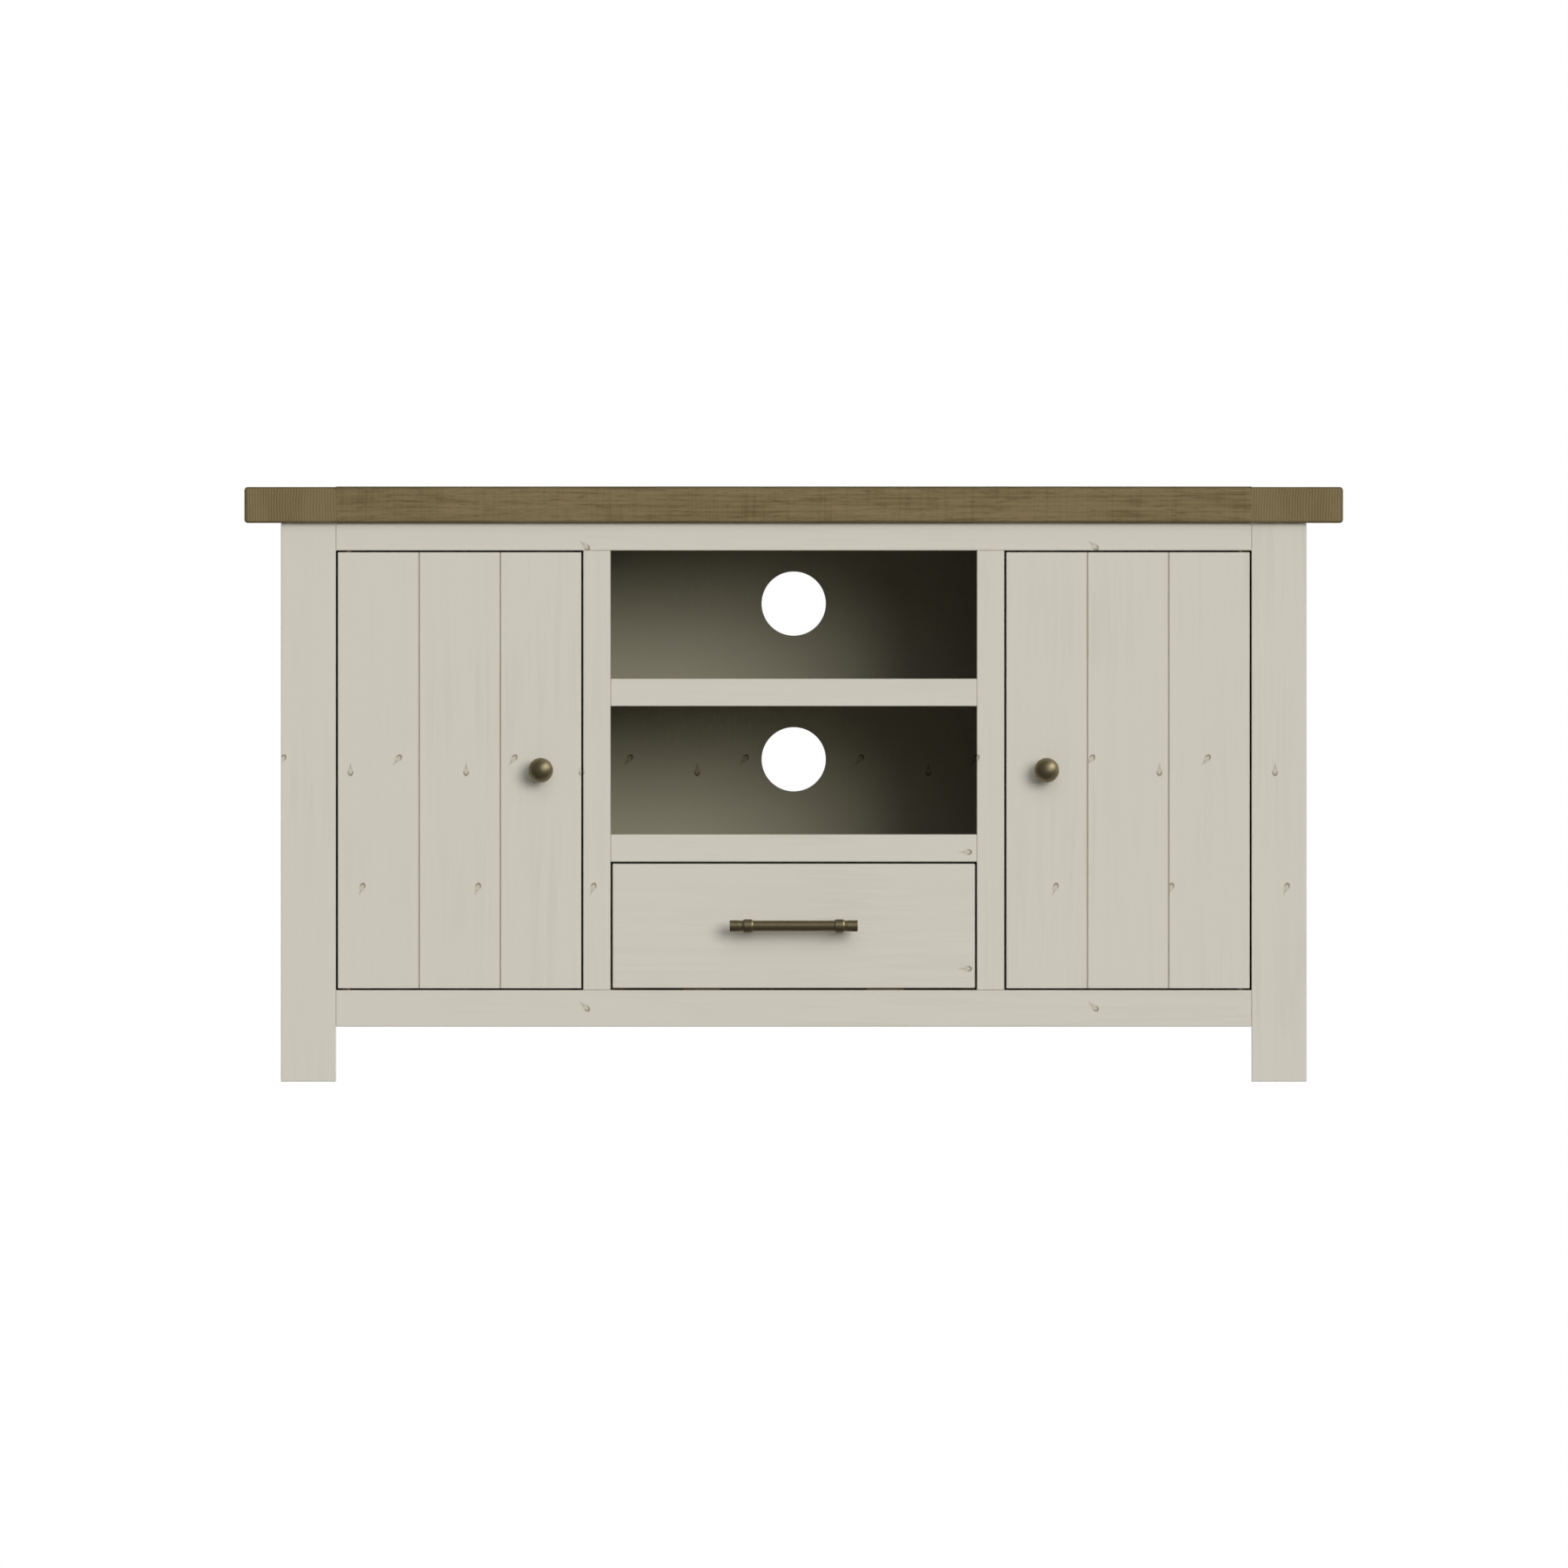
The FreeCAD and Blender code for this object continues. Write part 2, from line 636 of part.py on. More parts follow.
# Rows of blind peg holes face each other across a cupboard. The shelf rests on the middle pegs.
shelf_low = "(Sizes.shelf_top_height - Sizes.shelf_thickness)"
shelf_y = (f"({front} + Sizes.shelf_setback)",
           f"({front} + Sizes.shelf_setback + Sizes.shelf_depth)")
peg_ys = (f"({shelf_y[0]} + Sizes.peg_inset)", f"({shelf_y[1]} - Sizes.peg_inset)")
peg_depth = "(Sizes.peg_length / 2)"
middle_row = int(value("Sizes.peg_row_count")) // 2
shelf_pegs = []
peg_holes = {}
for side, sign in SIDES:
    for wall, face, into in (("partition", partition_outer, -sign),
                             ("panel", side_board_inner, sign)):
        holes = []
        for column, peg_y in enumerate(peg_ys):
            for level in range(int(value("Sizes.peg_row_count"))):
                peg_z = f"({shelf_low} - Sizes.peg_radius + {level - middle_row} * Sizes.peg_pitch)"
                x = mirrored(sign, face)
                hole = rod(f"peg_hole_{wall}_{side}_{column}_{level}", "Sizes.peg_radius",
                           peg_depth, x, peg_y, peg_z, Vector(into, 0, 0))
                holes.append(hole)
                if level == middle_row:
                    start = f"{x} + {into} * {peg_depth}"
                    shelf_pegs.append(rod(f"shelf_peg_{wall}_{side}_{column}",
                                          "Sizes.peg_radius", "Sizes.peg_length", start, peg_y,
                                          peg_z, Vector(-into, 0, 0)))
        peg_holes[wall, side] = together(f"peg_holes_{wall}_{side}", holes)
keep(together("shelf_pins", shelf_pegs))

inside_y = (frame_back, back_rail_front)
for side, sign in SIDES:
    board = block(f"partition_{side}_blank", span(sign, niche_side, partition_outer), inside_y,
                  (floor_top, top_under))
    keep(cut(f"partition_{side}", board, peg_holes["partition", side]))
    shelf_x = span(sign, f"({partition_outer} + Sizes.shelf_clearance)",
                   f"({side_board_inner} - Sizes.shelf_clearance)")
    keep(eased_board(f"cupboard_shelf_{side}", shelf_x, shelf_y,
                     (shelf_low, "Sizes.shelf_top_height")))
keep(eased_board("centre_shelf", across_niche, (front, back_rail_front),
                 (centre_shelf_low, centre_shelf_top)))
keep(block("drawer_divider", across_niche, inside_y, (drawer_rail_low, drawer_rail_top)))

# ---------------------------------------------------------------- side boards and back panels

side_board_width = f"(({back_post_front} - {front_post_back}) / Sizes.side_board_count)"
side_board_length = f"({top_rail_low} - {floor_top})"
side_board_total = int(value("Sizes.side_board_count"))
for side, sign in SIDES:
    boards = []
    for number in range(side_board_total):
        board = tongued_board(f"side_board_{side}_{number}", side_board_width,
                              "Sizes.side_board_thickness", side_board_length, number == 0,
                              number == side_board_total - 1)
        if sign > 0:
            start_y = f"{front_post_back} + {number} * {side_board_width}"
        else:
            start_y = f"{back_post_front} - {number} * {side_board_width}"
        place(board, mirrored(sign, side_board_outer), start_y, floor_top,
              Rotation(Vector(0, 0, 1), 90 * sign))
        boards.append(cut(f"side_board_{side}_{number}_bored", board, peg_holes["panel", side]))
    keep(together(f"side_panel_{side}", boards))

panel_split = f"(({niche_side} + {partition_outer}) / 2)"
panel_z = (floor_top, top_rail_low)
panel_y = (back_rail_front, f"{back_rail_front} + Sizes.back_panel_thickness")
for side, sign in SIDES:
    keep(block(f"back_panel_{side}", span(sign, panel_split, post_inner), panel_y, panel_z))
centre_blank = block("back_panel_centre_blank", (f"-{panel_split}", panel_split), panel_y, panel_z)
cable_holes = []
for niche, niche_low in (("upper", centre_shelf_top), ("lower", drawer_rail_top)):
    cable_holes.append(rod(f"cable_hole_{niche}", "Sizes.cable_hole_radius",
                           "Sizes.back_panel_thickness", "0", back_rail_front,
                           f"{niche_low} + Sizes.cable_hole_height", BACKWARD))
keep(cut("back_panel_centre", centre_blank, together("cable_holes", cable_holes)))

# ---------------------------------------------------------------- drawer runners and stops

runner_top = f"({floor_top} + Sizes.runner_height)"
runners = [block(f"drawer_runner_{side}",
                 span(sign, f"({niche_side} - Sizes.runner_width)", niche_side), inside_y,
                 (floor_top, runner_top)) for side, sign in SIDES]
keep(together("drawer_runners", runners))
stop_front = f"({door_back} + Sizes.stop_clearance)"
stop_x = ("Sizes.stop_from_middle", "(Sizes.stop_from_middle + Sizes.stop_width)")
stops = [block(f"drawer_stop_{side}", span(sign, *stop_x),
               (stop_front, f"({stop_front} + Sizes.stop_depth)"),
               (floor_top, f"({floor_top} + Sizes.stop_height)")) for side, sign in SIDES]
keep(together("drawer_stops", stops))

# ---------------------------------------------------------------- doors

door_width = f"({door_outer} - {door_inner})"
door_board_width = f"({door_width} / Sizes.door_board_count)"
door_board_total = int(value("Sizes.door_board_count"))
door_length = f"({door_top} - {door_low})"
knob_x = f"({door_inner} + {door_board_width} / 2)"
ball_y = f"({front} - Sizes.hardware_reach + Sizes.knob_radius)"
batten_back = f"({door_back} + Sizes.batten_thickness)"
lower_batten = f"({door_low} + Sizes.batten_end_distance)"
upper_batten = f"({door_top} - Sizes.batten_end_distance - Sizes.batten_height)"

for side, sign in SIDES:
    low_x = span(sign, door_inner, door_outer)[0]
    knob_bolt = bolt(f"{side}_knob_bolt", mirrored(sign, knob_x), "Sizes.knob_height")
    batten_screws = []
    for level, low in (("lower", lower_batten), ("upper", upper_batten)):
        for number in range(door_board_total):
            x = f"{low_x} + ({number} + 0.5) * {door_board_width}"
            batten_screws.append(screw(f"batten_screw_{side}_{level}_{number}",
                                       "Sizes.batten_screw_length", x, batten_back,
                                       f"{low} + Sizes.batten_height / 2", FORWARD))
    plate_screws = []
    plate_top = f"({door_top} - Sizes.plate_from_top)"
    plate_low = f"({plate_top} - Sizes.plate_height)"
    for end, x in catch_screw_ends:
        plate_screws.append(screw(f"plate_screw_{side}_{end}", "Sizes.screw_length",
                                  mirrored(sign, x), plate_face,
                                  f"{plate_low} + Sizes.plate_height / 2", FORWARD))
    small_screws[side] += batten_screws + plate_screws
    door_housings = joined(f"{side}_door_housings",
                           leaf_blanks[side] + small_screws[side] + pin_wells[side] + [knob_bolt])
    boards = []
    for number in range(door_board_total):
        is_first = number == 0
        is_last = number == door_board_total - 1
        board = tongued_board(f"{side}_door_board_{number}", door_board_width,
                              "Sizes.door_thickness", door_length, is_first, is_last)
        if is_first or is_last:
            edge_x = 0 if is_first else value(door_board_width)
            rim = edges_where(board.Shape, lambda point: abs(point.x - edge_x) < SAME_PLACE)
            upright = [name for name in rim
                       if board.Shape.getElement(name).BoundBox.ZLength > SAME_PLACE]
            dress(board, "Fillet", upright, "Sizes.door_edge_round")
        place(board, f"{low_x} + {number} * {door_board_width}", front, door_low)
        boards.append(cut(f"{side}_door_board_{number}_housed", board, door_housings))
    keep(together(f"{side}_door_boards", boards))

    batten_x = span(sign, f"({door_inner} + Sizes.batten_inset)",
                    f"({door_outer} - Sizes.batten_inset)")
    battens = []
    for level, low in (("lower", lower_batten), ("upper", upper_batten)):
        blank = eased_board(f"{side}_batten_{level}_blank", batten_x, (door_back, batten_back),
                            (low, f"{low} + Sizes.batten_height"))
        battens.append(cut(f"{side}_batten_{level}", blank,
                           together(f"{side}_batten_{level}_holes", batten_screws)))
    keep(together(f"{side}_door_battens", battens))

    plate = block(f"{side}_catch_plate_blank", span(sign, catch_near, catch_far),
                  (door_back, plate_face), (plate_low, plate_top))
    keep(cut(f"{side}_catch_plate", plate, together(f"{side}_plate_holes", plate_screws)))

    x = mirrored(sign, knob_x)
    ball = doc.addObject("Part::Sphere", f"{side}_knob_ball")
    ball.setExpression("Radius", "Sizes.knob_radius")
    place(ball, x, ball_y, "Sizes.knob_height")
    neck = rod(f"{side}_knob_neck", "Sizes.knob_neck_radius", f"{front} - {ball_y}", x, front,
               "Sizes.knob_height", FORWARD)
    foot = rod(f"{side}_knob_foot", "Sizes.knob_foot_radius", "Sizes.knob_foot_height", x, front,
               "Sizes.knob_height", FORWARD)
    knob_blank = joined(f"{side}_knob_blank", [ball, neck, foot])
    keep(cut(f"{side}_knob", knob_blank, knob_bolt))
    keep(knob_bolt)
    keep(together(f"{side}_hinge_leaves", pivot_leaves[side]))
    keep(together(f"{side}_door_screws", small_screws[side]))

# ---------------------------------------------------------------- drawer

drawer_outer = f"({niche_side} - Sizes.door_gap)"
drawer_inner = f"({drawer_outer} - Sizes.drawer_side_thickness)"
drawer_low = f"({floor_top} + Sizes.door_gap)"
drawer_top = f"({drawer_rail_low} - Sizes.door_gap)"
drawer_end = f"({door_back} + Sizes.drawer_side_length)"
drawer_back_front = f"({drawer_end} - Sizes.drawer_side_thickness)"
side_low = f"({runner_top} + Sizes.runner_clearance)"
side_top = f"({drawer_top} - Sizes.drawer_side_drop)"
handle_z = f"(({drawer_low} + {drawer_top}) / 2)"
bar_y = f"({front} - Sizes.hardware_reach + Sizes.collar_radius)"

handle_bolts = []
for side, sign in SIDES:
    handle_bolts.append(bolt(f"handle_bolt_{side}",
                             mirrored(sign, "(Sizes.handle_spacing / 2)"), handle_z))
keep(together("handle_bolts", handle_bolts))
front_blank = eased_board("drawer_front_blank", (f"-{drawer_outer}", drawer_outer),
                          (front, door_back), (drawer_low, drawer_top), "Sizes.door_edge_round")
keep(cut("drawer_front", front_blank, together("drawer_front_holes", handle_bolts)))
drawer_sides = [eased_board(f"drawer_side_{side}", span(sign, drawer_inner, drawer_outer),
                            (door_back, drawer_end), (side_low, side_top)) for side, sign in SIDES]
for drawer_side in drawer_sides:
    keep(drawer_side)
inside_drawer = (f"-{drawer_inner}", drawer_inner)
keep(block("drawer_back", inside_drawer, (drawer_back_front, drawer_end), (side_low, side_top)))
bottom_low = f"({side_low} + Sizes.drawer_bottom_rise)"
keep(block("drawer_bottom", inside_drawer, (door_back, drawer_back_front),
           (bottom_low, f"({bottom_low} + Sizes.drawer_bottom_thickness)")))

# The bar is turned about X. Its fluted ends stand slightly proud of the plain middle.
half_bar = "(Sizes.handle_length / 2)"
end_start = f"({half_bar} - Sizes.handle_end_width)"
half_outline = [(half_bar, "0"),
                (half_bar, "Sizes.handle_end_radius - Sizes.handle_end_ease"),
                (f"{half_bar} - Sizes.handle_end_ease", "Sizes.handle_end_radius"),
                (end_start, "Sizes.handle_end_radius"), (end_start, "Sizes.handle_radius")]
other_half = [(f"-({x})", y) for x, y in reversed(half_outline)]
bar = turned("handle_bar", half_outline + other_half, "H_Axis")
keep(place(bar, "0", bar_y, handle_z))

handle_posts = []
for side, sign in SIDES:
    x = mirrored(sign, "(Sizes.handle_spacing / 2)")
    stem = rod(f"handle_stem_{side}", "Sizes.post_radius", f"{front} - {bar_y}", x, front,
               handle_z, FORWARD)
    rosette = rod(f"handle_rosette_{side}", "Sizes.rosette_radius", "Sizes.rosette_height", x,
                  front, handle_z, FORWARD)
    collar = rod(f"handle_collar_{side}", "Sizes.collar_radius", "Sizes.collar_width",
                 f"{x} - Sizes.collar_width / 2", bar_y, handle_z, Vector(1, 0, 0))
    post_blank = joined(f"handle_post_{side}_blank", [stem, rosette, collar])
    bore = rod(f"handle_bore_{side}", "Sizes.handle_radius",
               "Sizes.collar_width + 2 * Sizes.bore_overrun",
               f"{x} - Sizes.collar_width / 2 - Sizes.bore_overrun", bar_y, handle_z,
               Vector(1, 0, 0))
    post_holes = joined(f"handle_post_{side}_holes", [bore, handle_bolts[len(handle_posts)]])
    handle_posts.append(cut(f"handle_post_{side}", post_blank, post_holes))
keep(together("handle_posts", handle_posts))

# ---------------------------------------------------------------- check and write

doc.recompute()
for item in doc.Objects:
    if "Invalid" in item.State or "Error" in item.State:
        raise RuntimeError(f"{item.Label} failed: {item.State}")
for piece in pieces:
    if piece.Shape.isNull() or not piece.Shape.isValid():
        raise RuntimeError(f"{piece.Label} has no valid shape")
    piece.Shape.exportStep(f"parts/{piece.Label}.step")
    print(f"{piece.Label}: {len(piece.Shape.Solids)} solids, {piece.Shape.Volume / 1000:.1f} cm3")
print(f"{len(pieces)} pieces")
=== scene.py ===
import math

import bpy
import numpy as np
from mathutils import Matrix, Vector


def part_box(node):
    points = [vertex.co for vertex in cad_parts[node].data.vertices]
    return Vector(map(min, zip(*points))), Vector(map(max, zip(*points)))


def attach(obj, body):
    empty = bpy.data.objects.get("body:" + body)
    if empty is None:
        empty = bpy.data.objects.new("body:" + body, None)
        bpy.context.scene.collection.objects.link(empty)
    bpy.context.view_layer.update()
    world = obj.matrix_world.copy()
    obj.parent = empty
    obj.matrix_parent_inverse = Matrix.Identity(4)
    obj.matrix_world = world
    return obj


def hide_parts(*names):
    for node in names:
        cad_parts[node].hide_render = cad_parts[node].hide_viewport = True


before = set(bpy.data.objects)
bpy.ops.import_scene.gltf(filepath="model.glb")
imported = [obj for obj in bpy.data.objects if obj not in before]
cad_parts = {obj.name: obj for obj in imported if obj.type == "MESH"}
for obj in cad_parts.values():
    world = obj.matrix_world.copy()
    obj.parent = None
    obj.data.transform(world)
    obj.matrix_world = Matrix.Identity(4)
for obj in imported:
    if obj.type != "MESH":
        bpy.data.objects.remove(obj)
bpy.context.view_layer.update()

# ---------------------------------------------------------------------------------------------
# Painted frame: posts, rails and stiles.
# Planed softwood, doweled together and sprayed with a warm grey satin paint, thin enough for
# small knots and a little of the grain to show through. The arrises are eased with sandpaper.
# ---------------------------------------------------------------------------------------------

PAINT = (0.596, 0.570, 0.496)
PAINT_FIGURE = (0.560, 0.536, 0.458)
# Painted shade on the eased edges.
PAINT_EDGE_SHADE = (0.440, 0.415, 0.330)
# Painted shade of the deep niches and cupboards, behind the front edges.
PAINT_INSIDE_SHADE = (0.350, 0.328, 0.240)
# Painted shade and dirt in the V-grooves, and how far they reach from a groove.
GROOVE_SHADE_AND_DIRT = (0.330, 0.316, 0.255)
GROOVE_REACH = 0.0012

# What a knot's body and its dark hook leave of the paint's own colour.
KNOT_BODY = (0.720, 0.700, 0.580)
KNOT_RIM = (0.235, 0.200, 0.130)

# One over a knot's length and width in metres.
KNOT_SCALE = (182.0, 303.0, 0.0)


def add_node(tree, kind, inputs=(), **settings):
    """One shader node. inputs pairs a socket's name or number with a value or another socket."""
    node = tree.nodes.new(kind)
    for name, setting in settings.items():
        setattr(node, name, setting)
    for key, source in dict(inputs).items():
        if isinstance(source, bpy.types.NodeSocket):
            tree.links.new(source, node.inputs[key])
        else:
            node.inputs[key].default_value = source
    return node


def new_group(name, inputs, outputs):
    """An empty node group with its sockets, its input node and its output node."""
    tree = bpy.data.node_groups.new(name, "ShaderNodeTree")
    for label, kind, start in inputs:
        socket = tree.interface.new_socket(label, in_out="INPUT", socket_type=kind)
        if start is not None:
            socket.default_value = start
    for label, kind in outputs:
        tree.interface.new_socket(label, in_out="OUTPUT", socket_type=kind)
    return tree, tree.nodes.new("NodeGroupInput").outputs, tree.nodes.new("NodeGroupOutput")


def math_node(tree, operation, first, second=0.0, third=0.0, clamp=False):
    """The value of one arithmetic step."""
    return add_node(tree, "ShaderNodeMath", {0: first, 1: second, 2: third},
                    operation=operation, use_clamp=clamp).outputs[0]


def times(tree, first, second):
    """The product of two values."""
    return math_node(tree, "MULTIPLY", first, second)


def ramp(tree, source, start, end, low=0.0, high=1.0):
    """A smooth step from low to high while the source goes from start to end."""
    return add_node(tree, "ShaderNodeMapRange",
                    {"Value": source, "From Min": start, "From Max": end, "To Min": low,
                     "To Max": high}, interpolation_type="SMOOTHSTEP").outputs[0]


def split(tree, vector):
    """The x, y and z of a vector."""
    return add_node(tree, "ShaderNodeSeparateXYZ", {0: vector}).outputs


def blended(tree, amount, first, second, mode="MIX"):
    """Two colours mixed by an amount."""
    node = add_node(tree, "ShaderNodeMix", data_type="RGBA", blend_type=mode, clamp_factor=True)
    for key, source in ((0, amount), (6, first), (7, second)):
        if isinstance(source, bpy.types.NodeSocket):
            tree.links.new(source, node.inputs[key])
        elif key == 0:
            node.inputs[key].default_value = source
        else:
            node.inputs[key].default_value = (*source, 1.0)
    return node.outputs[2]


def noise(tree, place, scale, detail=3.0, roughness=0.5, distortion=0.0):
    """Cloud noise, stretched by the three scales given."""
    stretched = add_node(tree, "ShaderNodeVectorMath", {0: place, 1: scale}, operation="MULTIPLY")
    return add_node(tree, "ShaderNodeTexNoise",
                    {"Vector": stretched.outputs[0], "Scale": 1.0, "Detail": detail,
                     "Roughness": roughness, "Distortion": distortion}).outputs[0]


def new_finish(name):
    """A material, its tree, its shader, and the place and the facing that its patterns read."""
    material = bpy.data.materials.new(name)
    material.use_nodes = True
    tree = material.node_tree
    source = add_node(tree, "ShaderNodeTexCoord").outputs
    return material, tree, tree.nodes["Principled BSDF"], source["Object"], source["Normal"]


def emboss(tree, shader, height, strength, distance):
    """Lets a height raise the surface."""
    relief = add_node(tree, "ShaderNodeBump", {"Height": height, "Strength": strength,
                                               "Distance": distance})
    tree.links.new(relief.outputs[0], shader.inputs["Normal"])


def arris_group():
    """Mask of eased edges: how far the surface turns away from all three board directions."""
    tree, given, out = new_group("eased_arris", [("Sharpness", "NodeSocketFloat", 1.0)],
                                 [("Mask", "NodeSocketFloat")])
    normal = add_node(tree, "ShaderNodeTexCoord").outputs["Normal"]
    away = add_node(tree, "ShaderNodeVectorMath", {0: normal}, operation="ABSOLUTE").outputs[0]
    x, y, z = split(tree, away)
    largest = math_node(tree, "MAXIMUM", math_node(tree, "MAXIMUM", x, y), z)
    turned = times(tree, math_node(tree, "SUBTRACT", 1.0, largest), 3.4)
    mask = math_node(tree, "MULTIPLY", turned, given["Sharpness"], clamp=True)
    tree.links.new(mask, out.inputs["Mask"])
    return tree


def knot_group():
    """A row of pin knots, one in each period: an oval body with a dark hook round one end.

    The oval is the length of (u / 5.5 mm, v / 3.3 mm), with u and v turned by the row's angle.
    The hook points where the angle does, and a thin tail trails off the other way.
    """
    tree, given, out = new_group(
        "pin_knots",
        [("Across", "NodeSocketFloat", 0.0), ("Up", "NodeSocketFloat", 0.0),
         ("Start", "NodeSocketFloat", 0.0), ("Period", "NodeSocketFloat", 0.126),
         ("Height", "NodeSocketFloat", 0.3), ("Turn", "NodeSocketFloat", 0.0)],
        [("Body", "NodeSocketFloat"), ("Rim", "NodeSocketFloat")])
    half = times(tree, given["Period"], 0.5)
    offset = math_node(tree, "SUBTRACT", given["Across"], given["Start"])
    u = math_node(tree, "WRAP", offset, half, times(tree, half, -1.0))
    v = math_node(tree, "SUBTRACT", given["Up"], given["Height"])
    flat = add_node(tree, "ShaderNodeCombineXYZ", {0: u, 1: v})
    turned = add_node(tree, "ShaderNodeVectorRotate",
                      {"Vector": flat.outputs[0], "Angle": times(tree, given["Turn"], -1.0)},
                      rotation_type="Z_AXIS").outputs[0]
    scaled = add_node(tree, "ShaderNodeVectorMath", {0: turned, 1: KNOT_SCALE},
                      operation="MULTIPLY").outputs[0]
    size = add_node(tree, "ShaderNodeVectorMath", {0: scaled}, operation="LENGTH").outputs["Value"]
    along, beside, _ = split(tree, scaled)
    tree.links.new(ramp(tree, size, 1.2, 0.6), out.inputs["Body"])
    ring = math_node(tree, "ABSOLUTE", math_node(tree, "SUBTRACT", size, 0.80))
    hook = times(tree, ramp(tree, ring, 0.30, 0.08), ramp(tree, along, -0.2, 0.4))
    trail = times(tree, ramp(tree, math_node(tree, "ABSOLUTE", beside), 0.4, 0.1),
                  times(tree, ramp(tree, along, -0.3, -0.7), ramp(tree, along, -1.9, -1.2)))
    tree.links.new(math_node(tree, "MAXIMUM", hook, times(tree, trail, 0.45)), out.inputs["Rim"])
    return tree


def joint_darkening(tree, source, place, reach, share):
    """Share of darkening by the distance from a joint: all of it within a third of the reach.
    In the V-grooves it is painted shade and dirt, in the oak's joints dirt.
    """
    off = math_node(tree, "ABSOLUTE", math_node(tree, "SUBTRACT", source, place))
    return ramp(tree, off, reach, reach / 3, 0.0, share)


ARRIS = arris_group()
KNOTS = knot_group()
FRONT_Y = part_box("front_post_left")[0].y

# Each row: where its first knot lies across, the spacing, the height, and the turn of its hook.
UPRIGHT_KNOTS = ((-0.0535, 0.1262, 0.3525, 0.9), (-0.1055, 0.1262, 0.3390, -1.571),
                 (-0.2190, 0.1262, 0.2120, 1.2))
LEVEL_KNOTS = ((-0.2270, 0.5556, 0.5845, -0.75), (-0.2270, 0.5556, 0.0808, -0.75),
               (0.1895, 0.5556, 0.2506, 0.0), (0.1895, 0.5556, 0.1232, 0.0))


def painted_wood(name, upright, inside=False, grooves=()):
    """Satin paint over softwood whose grain runs upright or level.

    Inside the cabinet the colour darkens behind the front edges, as painted shade of the deep
    niches and cupboards; the faces that look backwards keep the plain colour, without knots.
    Grooves lists the distances from the middle at which a V-groove darkens with painted shade
    and dirt.
    """
    material, tree, shader, place, normal = new_finish(name)
    x, y, z = split(tree, place)
    facing = split(tree, normal)
    sideways = math_node(tree, "ABSOLUTE", facing[0])
    across = add_node(tree, "ShaderNodeMix", {0: math_node(tree, "GREATER_THAN", sideways, 0.7),
                                              2: x, 3: y}, data_type="FLOAT").outputs[0]
    stretch = (95.0, 95.0, 4.0) if upright else (5.0, 110.0, 110.0)
    fine = (480.0, 480.0, 14.0) if upright else (14.0, 480.0, 480.0)
    figure = noise(tree, place, stretch, detail=4.0, roughness=0.6, distortion=1.1)
    fibre = noise(tree, place, fine, detail=2.0)
    cloud = noise(tree, place, (6.0, 6.0, 6.0), detail=2.0)
    patch = ramp(tree, cloud, 0.42, 0.62, 0.25, 1.0)
    tone = times(tree, ramp(tree, figure, 0.42, 0.66), patch)
    colour = blended(tree, times(tree, tone, 0.75), PAINT, PAINT_FIGURE)
    body_share, rim_share = (0.70, 0.90) if inside else (0.50, 0.70)
    if inside:
        # Painted shade: behind the front edges the inside darkens to the shade colour.
        indoors = math_node(tree, "LESS_THAN", facing[1], 0.5)
        behind = ramp(tree, y, FRONT_Y + 0.003, FRONT_Y + 0.030)
        colour = blended(tree, times(tree, indoors, behind), colour, PAINT_INSIDE_SHADE)
        body_share = times(tree, indoors, body_share)
        rim_share = times(tree, indoors, rim_share)
    outward = math_node(tree, "ABSOLUTE", x)
    # Painted shade and dirt darken each V-groove.
    for distance in grooves:
        joint_dark = joint_darkening(tree, outward, distance, GROOVE_REACH, 0.60)
        colour = blended(tree, joint_dark, colour, GROOVE_SHADE_AND_DIRT)
    height = math_node(tree, "ADD", times(tree, figure, 0.6), times(tree, fibre, 0.4))
    for start, period, level, turn in UPRIGHT_KNOTS if upright else LEVEL_KNOTS:
        row = add_node(tree, "ShaderNodeGroup", node_tree=KNOTS)
        for label, source in (("Across", across), ("Up", z)):
            tree.links.new(source, row.inputs[label])
        for label, number in (("Start", start), ("Period", period), ("Height", level),
                              ("Turn", turn)):
            row.inputs[label].default_value = number
        body = times(tree, row.outputs["Body"], body_share)
        rim = times(tree, row.outputs["Rim"], rim_share)
        colour = blended(tree, body, colour, KNOT_BODY, mode="MULTIPLY")
        colour = blended(tree, rim, colour, KNOT_RIM, mode="MULTIPLY")
        height = math_node(tree, "SUBTRACT", height, times(tree, rim, 0.8))
    # Painted shade: the eased edges darken in patches.
    arris = add_node(tree, "ShaderNodeGroup", node_tree=ARRIS).outputs["Mask"]
    paint_edge_shade = times(tree, arris, ramp(tree, cloud, 0.35, 0.65, 0.50, 0.85))
    colour = blended(tree, paint_edge_shade, colour, PAINT_EDGE_SHADE)
    tree.links.new(colour, shader.inputs["Base Color"])
    sheen = math_node(tree, "ADD", 0.46, times(tree, fibre, 0.12))
    tree.links.new(sheen, shader.inputs["Roughness"])
    shader.inputs["Specular IOR Level"].default_value = 0.35
    emboss(tree, shader, height, 0.35, 0.0004)
    return material


def coat(material, *nodes):
    """Puts a finish on CAD nodes whose own shape is right."""
    for name in nodes:
        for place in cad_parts[name].material_slots:
            place.material = material


upright_paint = painted_wood("upright_paint", upright=True)
level_paint = painted_wood("level_paint", upright=False)
coat(upright_paint, "front_post_left", "front_post_right", "back_post_left", "back_post_right",
     "stile_left", "stile_right")
coat(level_paint, "front_top_rail", "front_bottom_rail", "drawer_rail", "side_rails_left",
     "side_rails_right", "back_rails")

# ---------------------------------------------------------------------------------------------
# Inside of the cabinet: floor, partitions, shelves, side boards and back panels.
# Sanded softwood boards, darker behind the front edges as painted shade of the deep niches and
# cupboards. The shelves and the floor run level in housings and on pins; the partitions, side
# boards and back panels stand upright.
# ---------------------------------------------------------------------------------------------

